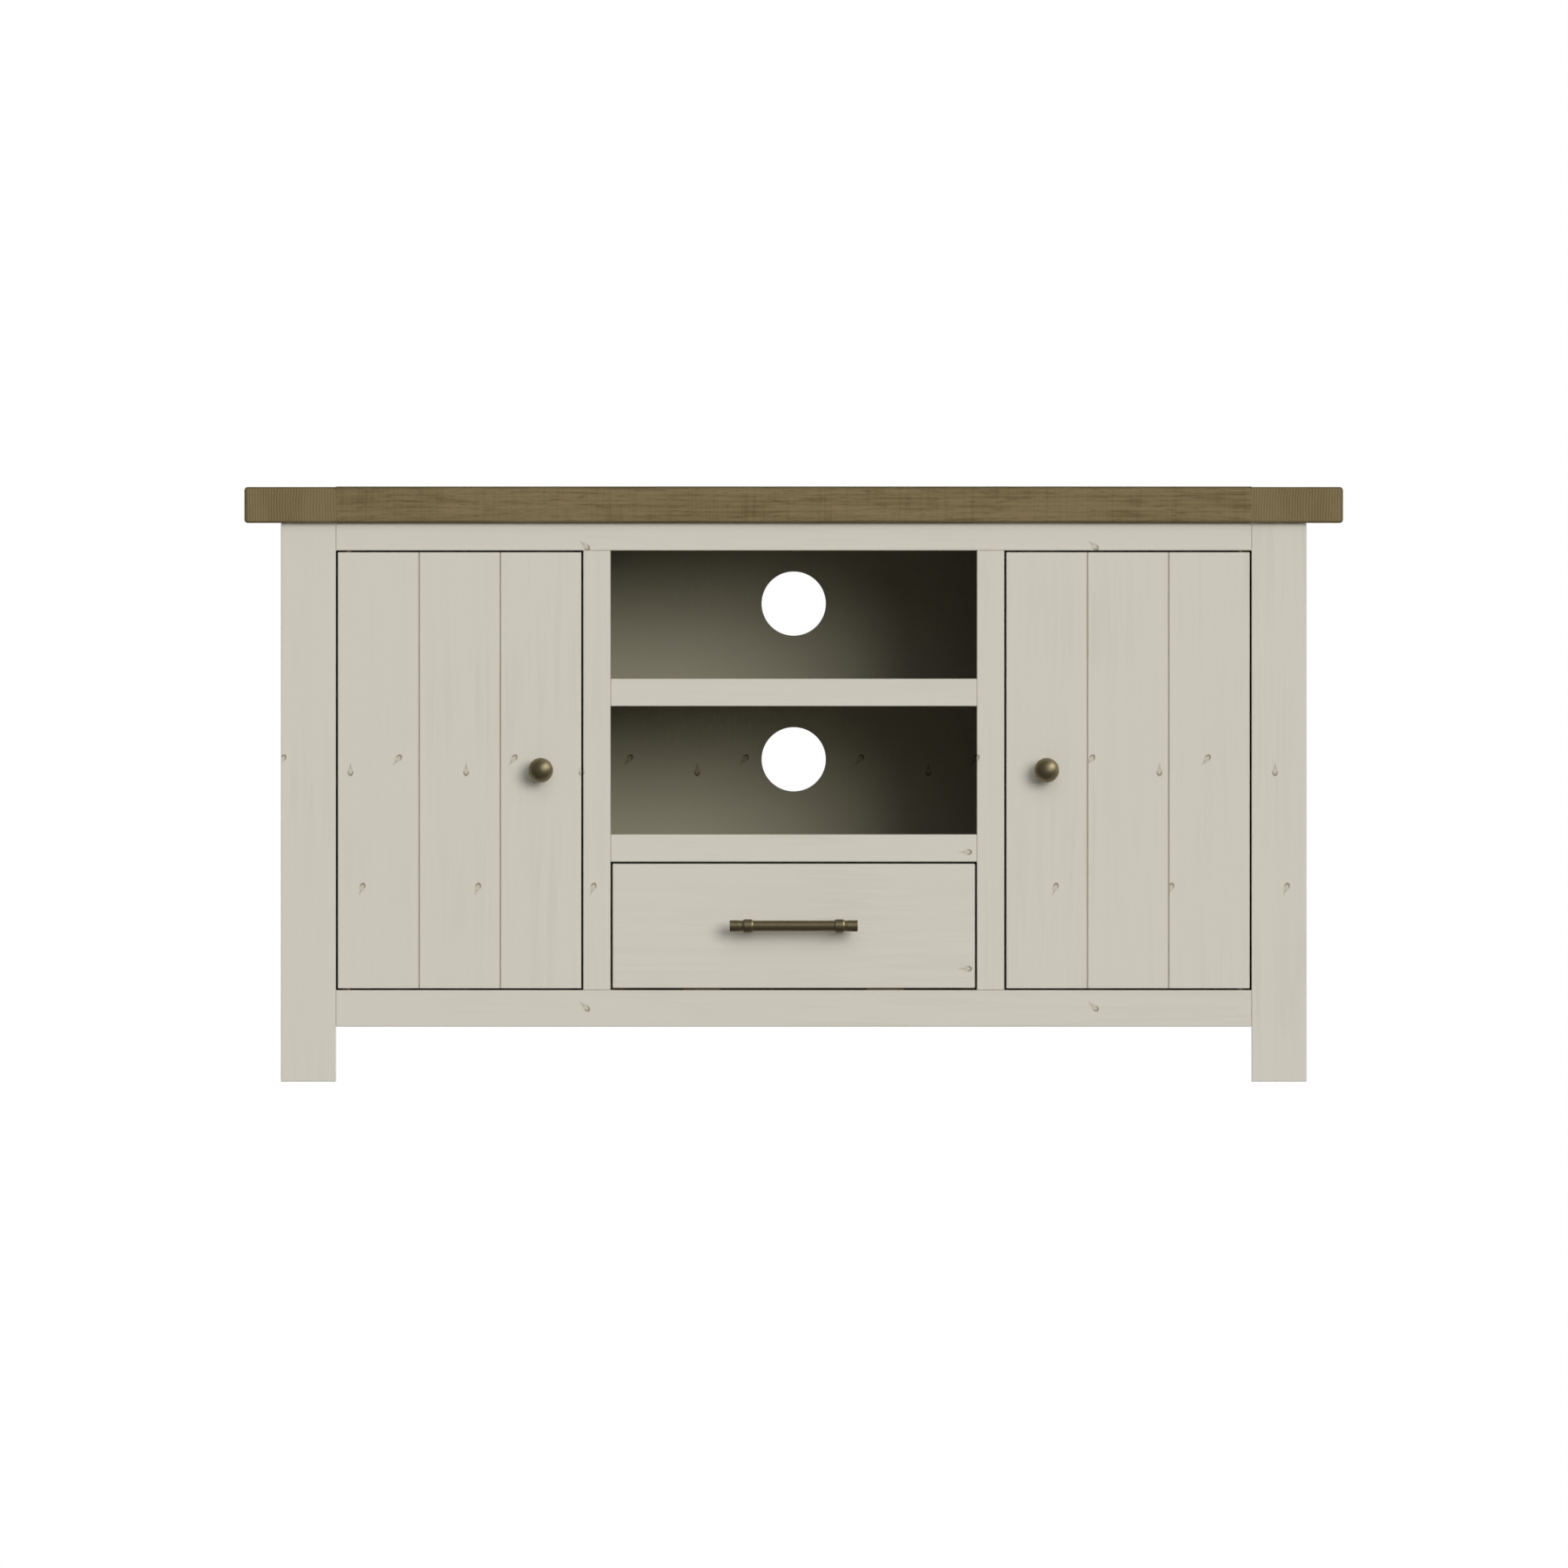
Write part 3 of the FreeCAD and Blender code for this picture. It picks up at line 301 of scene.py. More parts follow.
coat(painted_wood("level_inside_shaded_paint", upright=False, inside=True), "cabinet_floor",
     "centre_shelf", "drawer_divider", "cupboard_shelf_left", "cupboard_shelf_right")
coat(painted_wood("upright_inside_shaded_paint", upright=True, inside=True), "partition_left",
     "partition_right", "back_panel_left", "back_panel_centre", "back_panel_right")
coat(upright_paint, "side_panel_left", "side_panel_right")

# ---------------------------------------------------------------------------------------------
# Plank top: two end cleats and four lanes of planks.
# Solid oak, 40 mm thick, wire brushed and oiled dark brown. The cleats run from front to back
# and show their end grain at the front. The planks are butted in lanes, some a little proud.
# ---------------------------------------------------------------------------------------------

OAK_PALE = (0.210, 0.163, 0.078)
OAK_DARK = (0.100, 0.073, 0.030)
OAK_RED = (0.152, 0.108, 0.048)
OAK_PORE = (0.060, 0.042, 0.019)
# Painted shade on the eased edges.
OAK_EDGE_SHADE = (0.085, 0.062, 0.030)

# Roundings: outer rim, between lanes, at butts within a lane, and where a board lies tight.
RIM_RADIUS = 0.0038
JOINT_RADIUS = 0.0013
BUTT_RADIUS = 0.0009
TIGHT_RADIUS = 0.00012
CLEAT_END_RADIUS = 0.0030

# How deep the brush sinks a surface, and the mesh steps round and along a board.
CLEAT_SINK = 0.00012
PLANK_SINK = 0.00022
ARRIS_STEPS = 5
FLAT_STEPS = (22, 10)
SLICE = 0.008

# How far dirt reaches from a joint.
CLEAT_DIRT_REACH = 0.0015
LANE_DIRT_REACH = 0.0021
LANES = [f"top_planks_{lane}" for lane in range(1, 5)]
LANE_JOINTS = [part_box(node)[1].y for node in LANES[:-1]]
CLEAT_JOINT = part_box("top_cleat_right")[0].x


def oak_group():
    """Solid timber whose fibres run along the first axis of its place.

    Growth rings are the fraction of (distance from the pith / ring width), warped by slow noise.
    """
    tree, given, out = new_group(
        "oak_timber",
        [("Place", "NodeSocketVector", None), ("Pith", "NodeSocketVector", None),
         ("Ring Width", "NodeSocketFloat", 0.004), ("Wander", "NodeSocketFloat", 0.03)],
        [("Tone", "NodeSocketFloat"), ("Rings", "NodeSocketFloat"),
         ("Pores", "NodeSocketFloat"), ("Height", "NodeSocketFloat")])
    place = given["Place"]
    warp = noise(tree, place, (1.6, 9.0, 9.0), detail=3.0, roughness=0.55)
    push = times(tree, math_node(tree, "SUBTRACT", warp, 0.5), given["Wander"])
    from_pith = add_node(tree, "ShaderNodeVectorMath", {0: place, 1: given["Pith"]},
                         operation="SUBTRACT").outputs[0]
    flat = add_node(tree, "ShaderNodeVectorMath", {0: from_pith, 1: (0.0, 1.0, 1.0)},
                    operation="MULTIPLY").outputs[0]
    radius = add_node(tree, "ShaderNodeVectorMath", {0: flat}, operation="LENGTH").outputs["Value"]
    count = math_node(tree, "DIVIDE", math_node(tree, "ADD", radius, push), given["Ring Width"])
    late = math_node(tree, "POWER", math_node(tree, "FRACT", count), 3.0)
    fibre = noise(tree, place, (16.0, 420.0, 420.0), detail=3.0, roughness=0.65)
    streak = noise(tree, place, (6.0, 90.0, 90.0), detail=4.0, roughness=0.65)
    stain = noise(tree, place, (9.0, 34.0, 34.0), detail=4.0, roughness=0.7)
    sawn = noise(tree, place, (420.0, 16.0, 16.0), detail=2.0)
    dashes = noise(tree, place, (70.0, 1500.0, 1500.0), detail=1.0)
    pores = ramp(tree, dashes, 0.60, 0.70)
    shares = ((late, 0.16), (ramp(tree, fibre, 0.3, 0.7), 0.30),
              (ramp(tree, streak, 0.38, 0.64), 0.24), (ramp(tree, stain, 0.45, 0.72), 0.30),
              (ramp(tree, sawn, 0.45, 0.75), 0.16))
    tone = 0.0
    for share, weight in shares:
        tone = math_node(tree, "MULTIPLY_ADD", share, weight, tone)
    tree.links.new(tone, out.inputs["Tone"])
    tree.links.new(late, out.inputs["Rings"])
    tree.links.new(pores, out.inputs["Pores"])
    tall = math_node(tree, "SUBTRACT", times(tree, late, 0.5), times(tree, pores, 0.5))
    tree.links.new(math_node(tree, "ADD", tall, times(tree, fibre, 0.5)), out.inputs["Height"])
    return tree


OAK_TIMBER = oak_group()


def oiled_oak(name, along, pith, ring_width, wander):
    """Brown oiled oak with its fibres along X or Y.

    A board's lot shifts it through the log and sets how dark it is. Dirt darkens the joints.
    """
    material, tree, shader, place, normal = new_finish(name)
    x, y, z = split(tree, place)
    outward, depth = math_node(tree, "ABSOLUTE", x), y
    if along == "Y":
        x, y = y, x
    lot = add_node(tree, "ShaderNodeAttribute", attribute_name="lot").outputs["Fac"]
    x = math_node(tree, "ADD", x, times(tree, lot, 7.3))
    y = math_node(tree, "ADD", y, times(tree, lot, 0.31))
    log = add_node(tree, "ShaderNodeCombineXYZ", {0: x, 1: y, 2: z}).outputs[0]
    timber = add_node(tree, "ShaderNodeGroup", {"Place": log, "Pith": pith}, node_tree=OAK_TIMBER)
    timber.inputs["Ring Width"].default_value = ring_width
    timber.inputs["Wander"].default_value = wander
    faces = split(tree, normal)
    facing = math_node(tree, "ABSOLUTE", faces[0 if along == "X" else 1])
    end_grain = ramp(tree, facing, 0.75, 0.9)
    speckle = noise(tree, place, (900.0, 900.0, 900.0), detail=2.0)
    bands = ramp(tree, noise(tree, place, (38.0, 38.0, 9.0)), 0.40, 0.62, -0.14, 0.16)
    cut = math_node(tree, "MULTIPLY_ADD", timber.outputs["Rings"], 0.95,
                    math_node(tree, "MULTIPLY_ADD", speckle, 0.12, bands))
    tone = add_node(tree, "ShaderNodeMix", {0: end_grain, 2: timber.outputs["Tone"], 3: cut},
                    data_type="FLOAT").outputs[0]
    hue = math_node(tree, "FRACT", times(tree, lot, 9.7))
    tone = math_node(tree, "MULTIPLY_ADD", math_node(tree, "SUBTRACT", hue, 0.55), 0.45, tone)
    colour = blended(tree, ramp(tree, tone, 0.10, 0.95), OAK_PALE, OAK_DARK)
    colour = blended(tree, times(tree, hue, 0.25), colour, OAK_RED)
    pores = times(tree, timber.outputs["Pores"], 0.45)
    colour = blended(tree, pores, colour, OAK_PORE)
    # Painted shade: the eased edges darken in patches.
    arris = add_node(tree, "ShaderNodeGroup", node_tree=ARRIS).outputs["Mask"]
    edge_patchiness = ramp(tree, noise(tree, place, (18.0, 18.0, 18.0)), 0.35, 0.65, 0.35, 0.75)
    oak_edge_shade = times(tree, arris, edge_patchiness)
    colour = blended(tree, oak_edge_shade, colour, OAK_EDGE_SHADE)
    joint_dark = joint_darkening(tree, outward, CLEAT_JOINT, CLEAT_DIRT_REACH, 0.75)
    joint_dark = times(tree, joint_dark, ramp(tree, faces[2], 0.3, 0.7))
    for joint in LANE_JOINTS if along == "X" else ():
        line = joint_darkening(tree, depth, joint, LANE_DIRT_REACH, 0.85)
        joint_dark = math_node(tree, "MAXIMUM", joint_dark, line)
    colour = blended(tree, joint_dark, colour, OAK_PORE)
    tree.links.new(colour, shader.inputs["Base Color"])
    gloss = math_node(tree, "ADD", 0.50, times(tree, timber.outputs["Tone"], 0.16))
    tree.links.new(gloss, shader.inputs["Roughness"])
    shader.inputs["Specular IOR Level"].default_value = 0.18
    emboss(tree, shader, timber.outputs["Height"], 0.6, 0.0005)
    return material


def new_piece(name, points, faces, material, body, nodes=(), lot=None):
    """A mesh object from points in metres and faces, which rides on a body for its CAD nodes.

    Faces of more than four corners are the sawn ends of boards and stay flat. A lot is the
    same at every point.
    """
    mesh = bpy.data.meshes.new(name)
    mesh.from_pydata(np.asarray(points, float).tolist(), [], faces)
    mesh.polygons.foreach_set("use_smooth", [len(face) <= 4 for face in faces])
    if lot is not None:
        lots = mesh.attributes.new("lot", "FLOAT", "POINT").data
        lots.foreach_set("value", np.full(len(points), lot))
    mesh.materials.append(material)
    mesh.update()
    piece = bpy.data.objects.new(name, mesh)
    bpy.context.scene.collection.objects.link(piece)
    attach(piece, body)
    if nodes:
        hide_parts(*nodes)
    return piece


def section(width, height, radii):
    """Outline of a board's end, counter-clockwise, with its own radius at each corner.

    Each corner is a quarter circle, and each flat between them is cut into equal steps.
    Returns the points and their outward normals.
    """
    corners = ((0, 0, 180), (width, 0, 270), (width, height, 0), (0, height, 90))
    inward = ((1, 1), (-1, 1), (-1, -1), (1, -1))
    points, normals = [], []
    for number, ((cx, cy, start), (sx, sy), radius) in enumerate(zip(corners, inward, radii)):
        angles = np.radians(np.linspace(start, start + 90, ARRIS_STEPS))
        normal = np.stack([np.cos(angles), np.sin(angles)], axis=1)
        arc = np.array([cx + sx * radius, cy + sy * radius]) + radius * normal
        following = (number + 1) % 4
        fx, fy, _ = corners[following]
        gx, gy = inward[following]
        reach = radii[following]
        facing = normal[-1]
        target = np.array([fx + gx * reach, fy + gy * reach]) + reach * facing
        steps = np.linspace(0, 1, FLAT_STEPS[number % 2] + 1)[1:-1, None]
        points += [arc, arc[-1] + (target - arc[-1]) * steps]
        normals += [normal, np.repeat(facing[None], len(steps), axis=0)]
    return np.concatenate(points), np.concatenate(normals)


def undulation(along, across, seed):
    """Slow hand-finished unevenness from 0 to 1.

    The mean of nine sines of (a * along + b * across + phase), with a few waves to the metre
    along the fibres and many across them.
    """
    draw = np.random.default_rng(seed)
    waves = np.stack([draw.uniform(3, 22, 9), draw.uniform(60, 420, 9)], axis=1)
    phases = draw.uniform(0, 2 * np.pi, 9)
    total = sum(np.sin(a * along + b * across + phase)
                for (a, b), phase in zip(waves, phases))
    return np.clip(0.5 + total / 8, 0, 1)


def woven(rings, around):
    """The numbers of points in rings, and the quads between neighbouring rings."""
    index = np.arange(rings * around).reshape(rings, around)
    here, there = index[:-1], index[1:]
    quads = np.stack([here, np.roll(here, -1, axis=1), np.roll(there, -1, axis=1), there], axis=-1)
    return index, quads.reshape(-1, 4)


def carried_board(low, high, along, radii, end_radius, relief, seed, butted=0):
    """A board made by carrying its rounded end section along the fibres.

    At (s, t), s steps along the board and t runs round the section. The section sinks by the
    relief times the undulation, and shrinks along a quarter circle at both ends. Butted is the
    sideways direction of a neighbour that the board lies tight against: it keeps that side flat.
    """
    low, high = np.array(low), np.array(high)
    size = high - low
    cross = 1 if along == 0 else 0
    outline, normals = section(size[cross], size[2], radii)
    quarter = np.linspace(0, np.pi / 2, 5)
    inset = end_radius * (1 - np.sin(quarter))
    entry = end_radius * (1 - np.cos(quarter))
    middle = np.linspace(end_radius, size[along] - end_radius, int(size[along] / SLICE) + 2)[1:-1]
    s = np.concatenate([entry, middle, size[along] - entry[::-1]])
    shrink = np.concatenate([inset, np.zeros(len(middle)), inset[::-1]])
    girth = np.concatenate([[0], np.cumsum(np.linalg.norm(np.diff(outline, axis=0), axis=1))])
    sink = relief * undulation(s[:, None], girth[None, :], seed)
    offset = normals[None] * (shrink[:, None] + sink)[..., None]
    offset[..., 0] *= normals[:, 0] * butted < 0.3
    ring = outline[None] - offset
    points = np.empty((len(s), len(outline), 3))
    points[..., along] = low[along] + s[:, None]
    points[..., cross] = low[cross] + ring[..., 0]
    points[..., 2] = low[2] + ring[..., 1]
    index, quads = woven(*points.shape[:2])
    way = 1 if along == 0 else -1
    faces = quads[:, ::way].tolist() + [index[0][::-way].tolist(), index[-1][::way].tolist()]
    return points.reshape(-1, 3), faces


plank_oak = oiled_oak("plank_oak", "X", (0.0, 0.10, 0.30), 0.0045, 0.03)
cleat_oak = oiled_oak("cleat_oak", "Y", (0.0, 1.90, 0.60), 0.0031, 0.012)

for number, side in enumerate(("left", "right")):
    node = f"top_cleat_{side}"
    low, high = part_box(node)
    towards_planks = 1 if side == "left" else -1
    near, far = (RIM_RADIUS, TIGHT_RADIUS)[::towards_planks]
    points, faces = carried_board(low, high, 1, (near, far, far, near), CLEAT_END_RADIUS,
                                  CLEAT_SINK, seed=11 + number, butted=towards_planks)
    new_piece(f"cleat_{side}", points, faces, cleat_oak, "cabinet", [node],
              lot=0.37 + 0.41 * number)


def solids(node):
    """The separate solids of a CAD node, each as the array of its points.

    Points at one place are merged, and the lowest label spreads over the triangles until it
    stops changing.
    """
    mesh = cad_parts[node].data
    points = np.zeros(len(mesh.vertices) * 3)
    mesh.vertices.foreach_get("co", points)
    points = points.reshape(-1, 3)
    mesh.calc_loop_triangles()
    corners = np.zeros(len(mesh.loop_triangles) * 3, int)
    mesh.loop_triangles.foreach_get("vertices", corners)
    merged, place = np.unique(np.round(points, 6), axis=0, return_inverse=True)
    triangles = place.reshape(-1)[corners].reshape(-1, 3)
    labels = np.arange(len(merged))
    while True:
        lowest = labels[triangles].min(axis=1)
        spread = labels.copy()
        np.minimum.at(spread, triangles.ravel(), np.repeat(lowest, 3))
        if np.array_equal(spread, labels):
            break
        labels = spread
    return [merged[labels == label] for label in np.unique(labels)]


for lane, node in enumerate(LANES):
    ends = sorted(solids(node), key=lambda cloud: cloud[:, 0].min())
    for number, cloud in enumerate(ends):
        front_edge = RIM_RADIUS if lane == 0 else JOINT_RADIUS
        back_edge = RIM_RADIUS if lane == len(LANES) - 1 else JOINT_RADIUS
        seed = 31 + 7 * lane + number
        points, faces = carried_board(cloud.min(axis=0), cloud.max(axis=0), 0,
                                      (front_edge, back_edge, back_edge, front_edge),
                                      TIGHT_RADIUS if lane == 0 else BUTT_RADIUS, PLANK_SINK, seed)
        new_piece(f"plank_{lane + 1}_{number + 1}", points, faces, plank_oak, "cabinet",
                  [node] if number == 0 else (),
                  lot=(seed * 0.618) % 1.0)

# ---------------------------------------------------------------------------------------------
# Doors.
# Three tongued boards each, 20 mm thick, V-jointed at the front and held by two battens that
# are screwed on from behind. Same wood and paint as the frame.
# ---------------------------------------------------------------------------------------------

door_low, door_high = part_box("right_door_boards")
BOARD_WIDTH = (door_high.x - door_low.x) / 3
door_paint = painted_wood("door_paint", upright=True,
                          grooves=[door_low.x + BOARD_WIDTH * joint for joint in (1, 2)])
for side in ("left", "right"):
    coat(door_paint, f"{side}_door_boards")
    coat(level_paint, f"{side}_door_battens")

# ---------------------------------------------------------------------------------------------
# Knobs.
# Solid brass balls of 27 mm, turned in one piece with their neck and foot, brushed and
# chemically aged to a dull brown gold. Each is held by one bolt through the door.
# ---------------------------------------------------------------------------------------------

BRASS = (0.250, 0.208, 0.118)
BRASS_DARK = (0.085, 0.066, 0.036)


def patina_group():
    """Ageing of the brass: cloudy darkening, and fine specks."""
    tree, given, out = new_group("brass_patina", [("Place", "NodeSocketVector", None)],
                                 [("Stain", "NodeSocketFloat"), ("Specks", "NodeSocketFloat")])
    stain = ramp(tree, noise(tree, given["Place"], (120.0, 120.0, 120.0), detail=4.0), 0.38, 0.68)
    specks = ramp(tree, noise(tree, given["Place"], (900.0, 900.0, 900.0), detail=2.0), 0.62, 0.74)
    tree.links.new(stain, out.inputs["Stain"])
    tree.links.new(specks, out.inputs["Specks"])
    return tree


PATINA = patina_group()


def aged_brass(name, bright, dark, roughness):
    """Brushed brass, darker where the stain gathers."""
    material, tree, shader, place, _ = new_finish(name)
    patina = add_node(tree, "ShaderNodeGroup", {"Place": place}, node_tree=PATINA)
    colour = blended(tree, times(tree, patina.outputs["Stain"], 0.22), bright, dark)
    colour = blended(tree, times(tree, patina.outputs["Specks"], 0.6), colour, dark)
    tree.links.new(colour, shader.inputs["Base Color"])
    shader.inputs["Metallic"].default_value = 0.82
    dullness = math_node(tree, "ADD", roughness, times(tree, patina.outputs["Stain"], 0.08))
    tree.links.new(dullness, shader.inputs["Roughness"])
    emboss(tree, shader, noise(tree, place, (300.0, 2600.0, 2600.0), detail=2.0), 0.15, 0.0001)
    return material


def round_about(axis, angle):
    """Unit vectors square to an axis, at each angle of a turn about it."""
    first = np.cross(axis, (0.0, 0.0, 1.0) if abs(axis[2]) < 0.9 else (1.0, 0.0, 0.0))
    first /= np.linalg.norm(first)
    second = np.cross(axis, first)
    return first * np.cos(angle)[:, None] + second * np.sin(angle)[:, None]


def closed_skin(rings, ends):
    """Rings of points joined by quads, with a fan of triangles to a point at each end."""
    points = np.concatenate([rings.reshape(-1, 3), ends])
    index, quads = woven(*rings.shape[:2])
    start, end = len(points) - 2, len(points) - 1
    faces = quads.tolist()
    faces += [[start, int(b), int(a)] for a, b in zip(index[0], np.roll(index[0], -1))]
    faces += [[end, int(a), int(b)] for a, b in zip(index[-1], np.roll(index[-1], -1))]
    return points, faces


def turned(profile, origin, axis, sides, relief=None):
    """A surface of revolution: the profile (distance along the axis, radius) carried round.

    relief, if given, is taken off the radius at every (angle, distance). Both ends of the
    profile lie on the axis, where they close in a fan.
    """
    profile = np.asarray(profile, float)
    axis = np.asarray(axis, float)
    angle = np.arange(sides) * 2 * np.pi / sides
    body = profile[1:-1]
    radius = np.repeat(body[:, 1:2], sides, axis=1)
    if relief is not None:
        radius = radius - relief(angle[None, :], body[:, 0:1])
    rings = body[:, 0, None, None] * axis + radius[..., None] * round_about(axis, angle)[None]
    points, faces = closed_skin(rings, profile[[0, -1], 0, None] * axis)
    return points + np.asarray(origin, float), faces


def arc(centre, radius, start, end, steps):
    """Points of a circular arc in the (along, radius) plane, angles in degrees."""
    angles = np.radians(np.linspace(start, end, steps))
    return np.stack([centre[0] + radius * np.cos(angles), centre[1] + radius * np.sin(angles)], 1)


knob_brass = aged_brass("knob_brass", BRASS, BRASS_DARK, 0.43)
BALL_RADIUS = 0.0135
FOOT_RADIUS = 0.0072
FOOT_ROUND = 0.0008
FOOT_THICKNESS = 0.0030
NECK_CENTRE = (0.0062, 0.0082)
NECK_HOLLOW = 0.0034
KNOB_SIDES = 64
for side in ("left", "right"):
    low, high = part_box(f"{side}_knob")
    centre = (low + high) / 2
    foot = np.concatenate([[(0.0, 0.0), (0.0, FOOT_RADIUS)],
                           arc((FOOT_ROUND, FOOT_RADIUS), FOOT_ROUND, 180, 90, 3),
                           arc((FOOT_THICKNESS - FOOT_ROUND, FOOT_RADIUS), FOOT_ROUND, 90, 0, 3)])
    neck = arc(NECK_CENTRE, NECK_HOLLOW, 205, 270, 6)
    ball = arc((high.y - low.y - BALL_RADIUS, 0.0), BALL_RADIUS, 157, 0, 34)
    points, faces = turned(np.concatenate([foot, neck, ball]), (centre.x, high.y, centre.z),
                           (0.0, -1.0, 0.0), KNOB_SIDES)
    new_piece(f"{side}_ball_knob", points, faces, knob_brass, f"{side}_door",
              [f"{side}_knob"])

# ---------------------------------------------------------------------------------------------
# Bar handle of the drawer.
# A 12 mm brass bar whose ends are cross-knurled, held in two knurled rings on turned posts.
# Each post screws onto a bolt that comes through the drawer front from inside.
# ---------------------------------------------------------------------------------------------

KNURL_TEETH = 44
KNURL_DEPTH = 0.00022
KNURL_RADIUS = 0.0066


def knurl(start, end):
    """Cross-knurling between two distances: diamonds left standing between two sets of grooves.

    Depth is the larger of |sin(n a / 2 + k s)| and |sin(n a / 2 - k s)|, subtracted from one.
    """
    def depth(angle, s):
        wind = KNURL_TEETH / 2 * angle
        step = s * KNURL_TEETH / 2 / KNURL_RADIUS
        left = 1 - np.abs(np.sin(wind + step))
        right = 1 - np.abs(np.sin(wind - step))
        inside = (s > start) & (s < end)
        return np.where(inside, KNURL_DEPTH * np.maximum(left, right) ** 2, 0.0)
    return depth


handle_brass = aged_brass("handle_brass", BRASS, BRASS_DARK, 0.36)
low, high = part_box("handle_bar")
length = high.x - low.x
end_radius = (high.z - low.z) / 2
BAR_RADIUS = 0.0060
END_WIDTH = 0.011
EASE = 0.0006
STEP_WIDTH = 0.0003
OUTER_MARGIN = 0.0010
INNER_MARGIN = 0.0008
END_ROW = 0.00016
HANDLE_SIDES = 176
rows = int(END_WIDTH / END_ROW)
near_end = np.concatenate([
    [(0.0, 0.0)], arc((EASE, end_radius - EASE), EASE, 180, 90, 5),
    np.stack([np.linspace(EASE, END_WIDTH - STEP_WIDTH, rows)[1:],
              np.full(rows - 1, end_radius)], 1),
    [(END_WIDTH, BAR_RADIUS), (END_WIDTH + STEP_WIDTH, BAR_RADIUS)]])
bar_profile = np.concatenate([near_end, near_end[::-1] * (-1, 1) + (length, 0)])
near_knurl = knurl(OUTER_MARGIN, END_WIDTH - INNER_MARGIN)
far_knurl = knurl(length - END_WIDTH + INNER_MARGIN, length - OUTER_MARGIN)
points, faces = turned(bar_profile, (low.x, (low.y + high.y) / 2, (low.z + high.z) / 2),
                       (1.0, 0.0, 0.0), HANDLE_SIDES,
                       lambda angle, s: near_knurl(angle, s) + far_knurl(angle, s))
new_piece("bar_handle", points, faces, handle_brass, "drawer", ["handle_bar"])

posts = sorted(solids("handle_posts"), key=lambda cloud: cloud[:, 0].min())
RING_WIDTH = 0.011
RING_BEVEL = 0.0015
RING_DROP = 0.0007
RING_ROW = 0.00018
RING_MARGIN = 0.0014
ROSETTE_RADIUS = 0.0062
ROSETTE_ROUND = 0.0006
FLARE_CENTRE = (0.0066, 0.0078)
FLARE_HOLLOW = 0.0038
STEM_RADIUS = 0.0044
POST_SIDES = 40
for number, cloud in enumerate(posts):
    low, high = cloud.min(axis=0), cloud.max(axis=0)
    middle = (low + high) / 2
    ring_radius = (high[2] - low[2]) / 2
    bar_y = low[1] + ring_radius
    rows = int(RING_WIDTH / RING_ROW)
    rim = np.stack([np.linspace(RING_BEVEL, RING_WIDTH - RING_BEVEL, rows),
                    np.full(rows, ring_radius)], 1)
    edge = np.array([(0.0, ring_radius - RING_DROP - 0.0002), (0.0001, ring_radius - RING_DROP)])
    slope = np.stack([np.linspace(0.0002, RING_BEVEL, 7)[:-1],
                      np.linspace(ring_radius - RING_DROP, ring_radius, 7)[:-1]], 1)
    shoulder = np.concatenate([edge, slope])
    ring_profile = np.concatenate([[(0.0, 0.0)], shoulder, rim,
                                   shoulder[::-1] * (-1, 1) + (RING_WIDTH, 0),
                                   [(RING_WIDTH, 0.0)]])
    points, faces = turned(ring_profile, (middle[0] - RING_WIDTH / 2, bar_y, middle[2]),
                           (1.0, 0.0, 0.0), HANDLE_SIDES,
                           knurl(RING_MARGIN, RING_WIDTH - RING_MARGIN))
    side = ("left", "right")[number]
    new_piece(f"handle_ring_{side}", points, faces, handle_brass, "drawer",
              ["handle_posts"] if number == 0 else ())
    reach = high[1] - bar_y
    rosette = np.concatenate([
        [(0.0, 0.0), (0.0, ROSETTE_RADIUS)],
        arc((ROSETTE_ROUND, ROSETTE_RADIUS), ROSETTE_ROUND, 180, 90, 3),
        arc((0.0021, 0.0060), 0.0008, 90, 10, 4)])
    flare = arc(FLARE_CENTRE, FLARE_HOLLOW, 200, 270, 7)
    stem = np.array([(reach - 0.0060, 0.0040), (reach - 0.0042, STEM_RADIUS),
                     (reach - 0.0042, 0.0)])
    points, faces = turned(np.concatenate([rosette, flare, stem]),
                           (middle[0], high[1], middle[2]), (0.0, -1.0, 0.0), POST_SIDES)
    new_piece(f"handle_post_{side}", points, faces, handle_brass, "drawer")

# ---------------------------------------------------------------------------------------------
# Drawer.
# A painted front of 20 mm softwood on a plain box: 12 mm sides and back of bare pine, and a
# birch plywood bottom. It runs on two waxed strips and stops against two blocks.
# ---------------------------------------------------------------------------------------------

PINE = (0.610, 0.455, 0.270)
PINE_DARK = (0.430, 0.270, 0.125)
BIRCH = (0.640, 0.510, 0.340)
BIRCH_DARK = (0.520, 0.380, 0.220)


def bare_pine(name, along, pale, dark):
    """Sanded unpainted wood with its fibres along one axis."""
    material, tree, shader, place, _ = new_finish(name)
    x, y, z = split(tree, place)
    order = {"X": (x, y, z), "Y": (y, x, z), "Z": (z, x, y)}[along]
    log = add_node(tree, "ShaderNodeCombineXYZ", dict(enumerate(order))).outputs[0]
    timber = add_node(tree, "ShaderNodeGroup", {"Place": log, "Pith": (0.0, 0.03, -0.09)},
                      node_tree=OAK_TIMBER)
    timber.inputs["Ring Width"].default_value = 0.0052
    colour = blended(tree, ramp(tree, timber.outputs["Tone"], 0.1, 1.1), pale, dark)
    tree.links.new(colour, shader.inputs["Base Color"])
    shader.inputs["Roughness"].default_value = 0.62
    emboss(tree, shader, timber.outputs["Height"], 0.3, 0.0003)
    return material


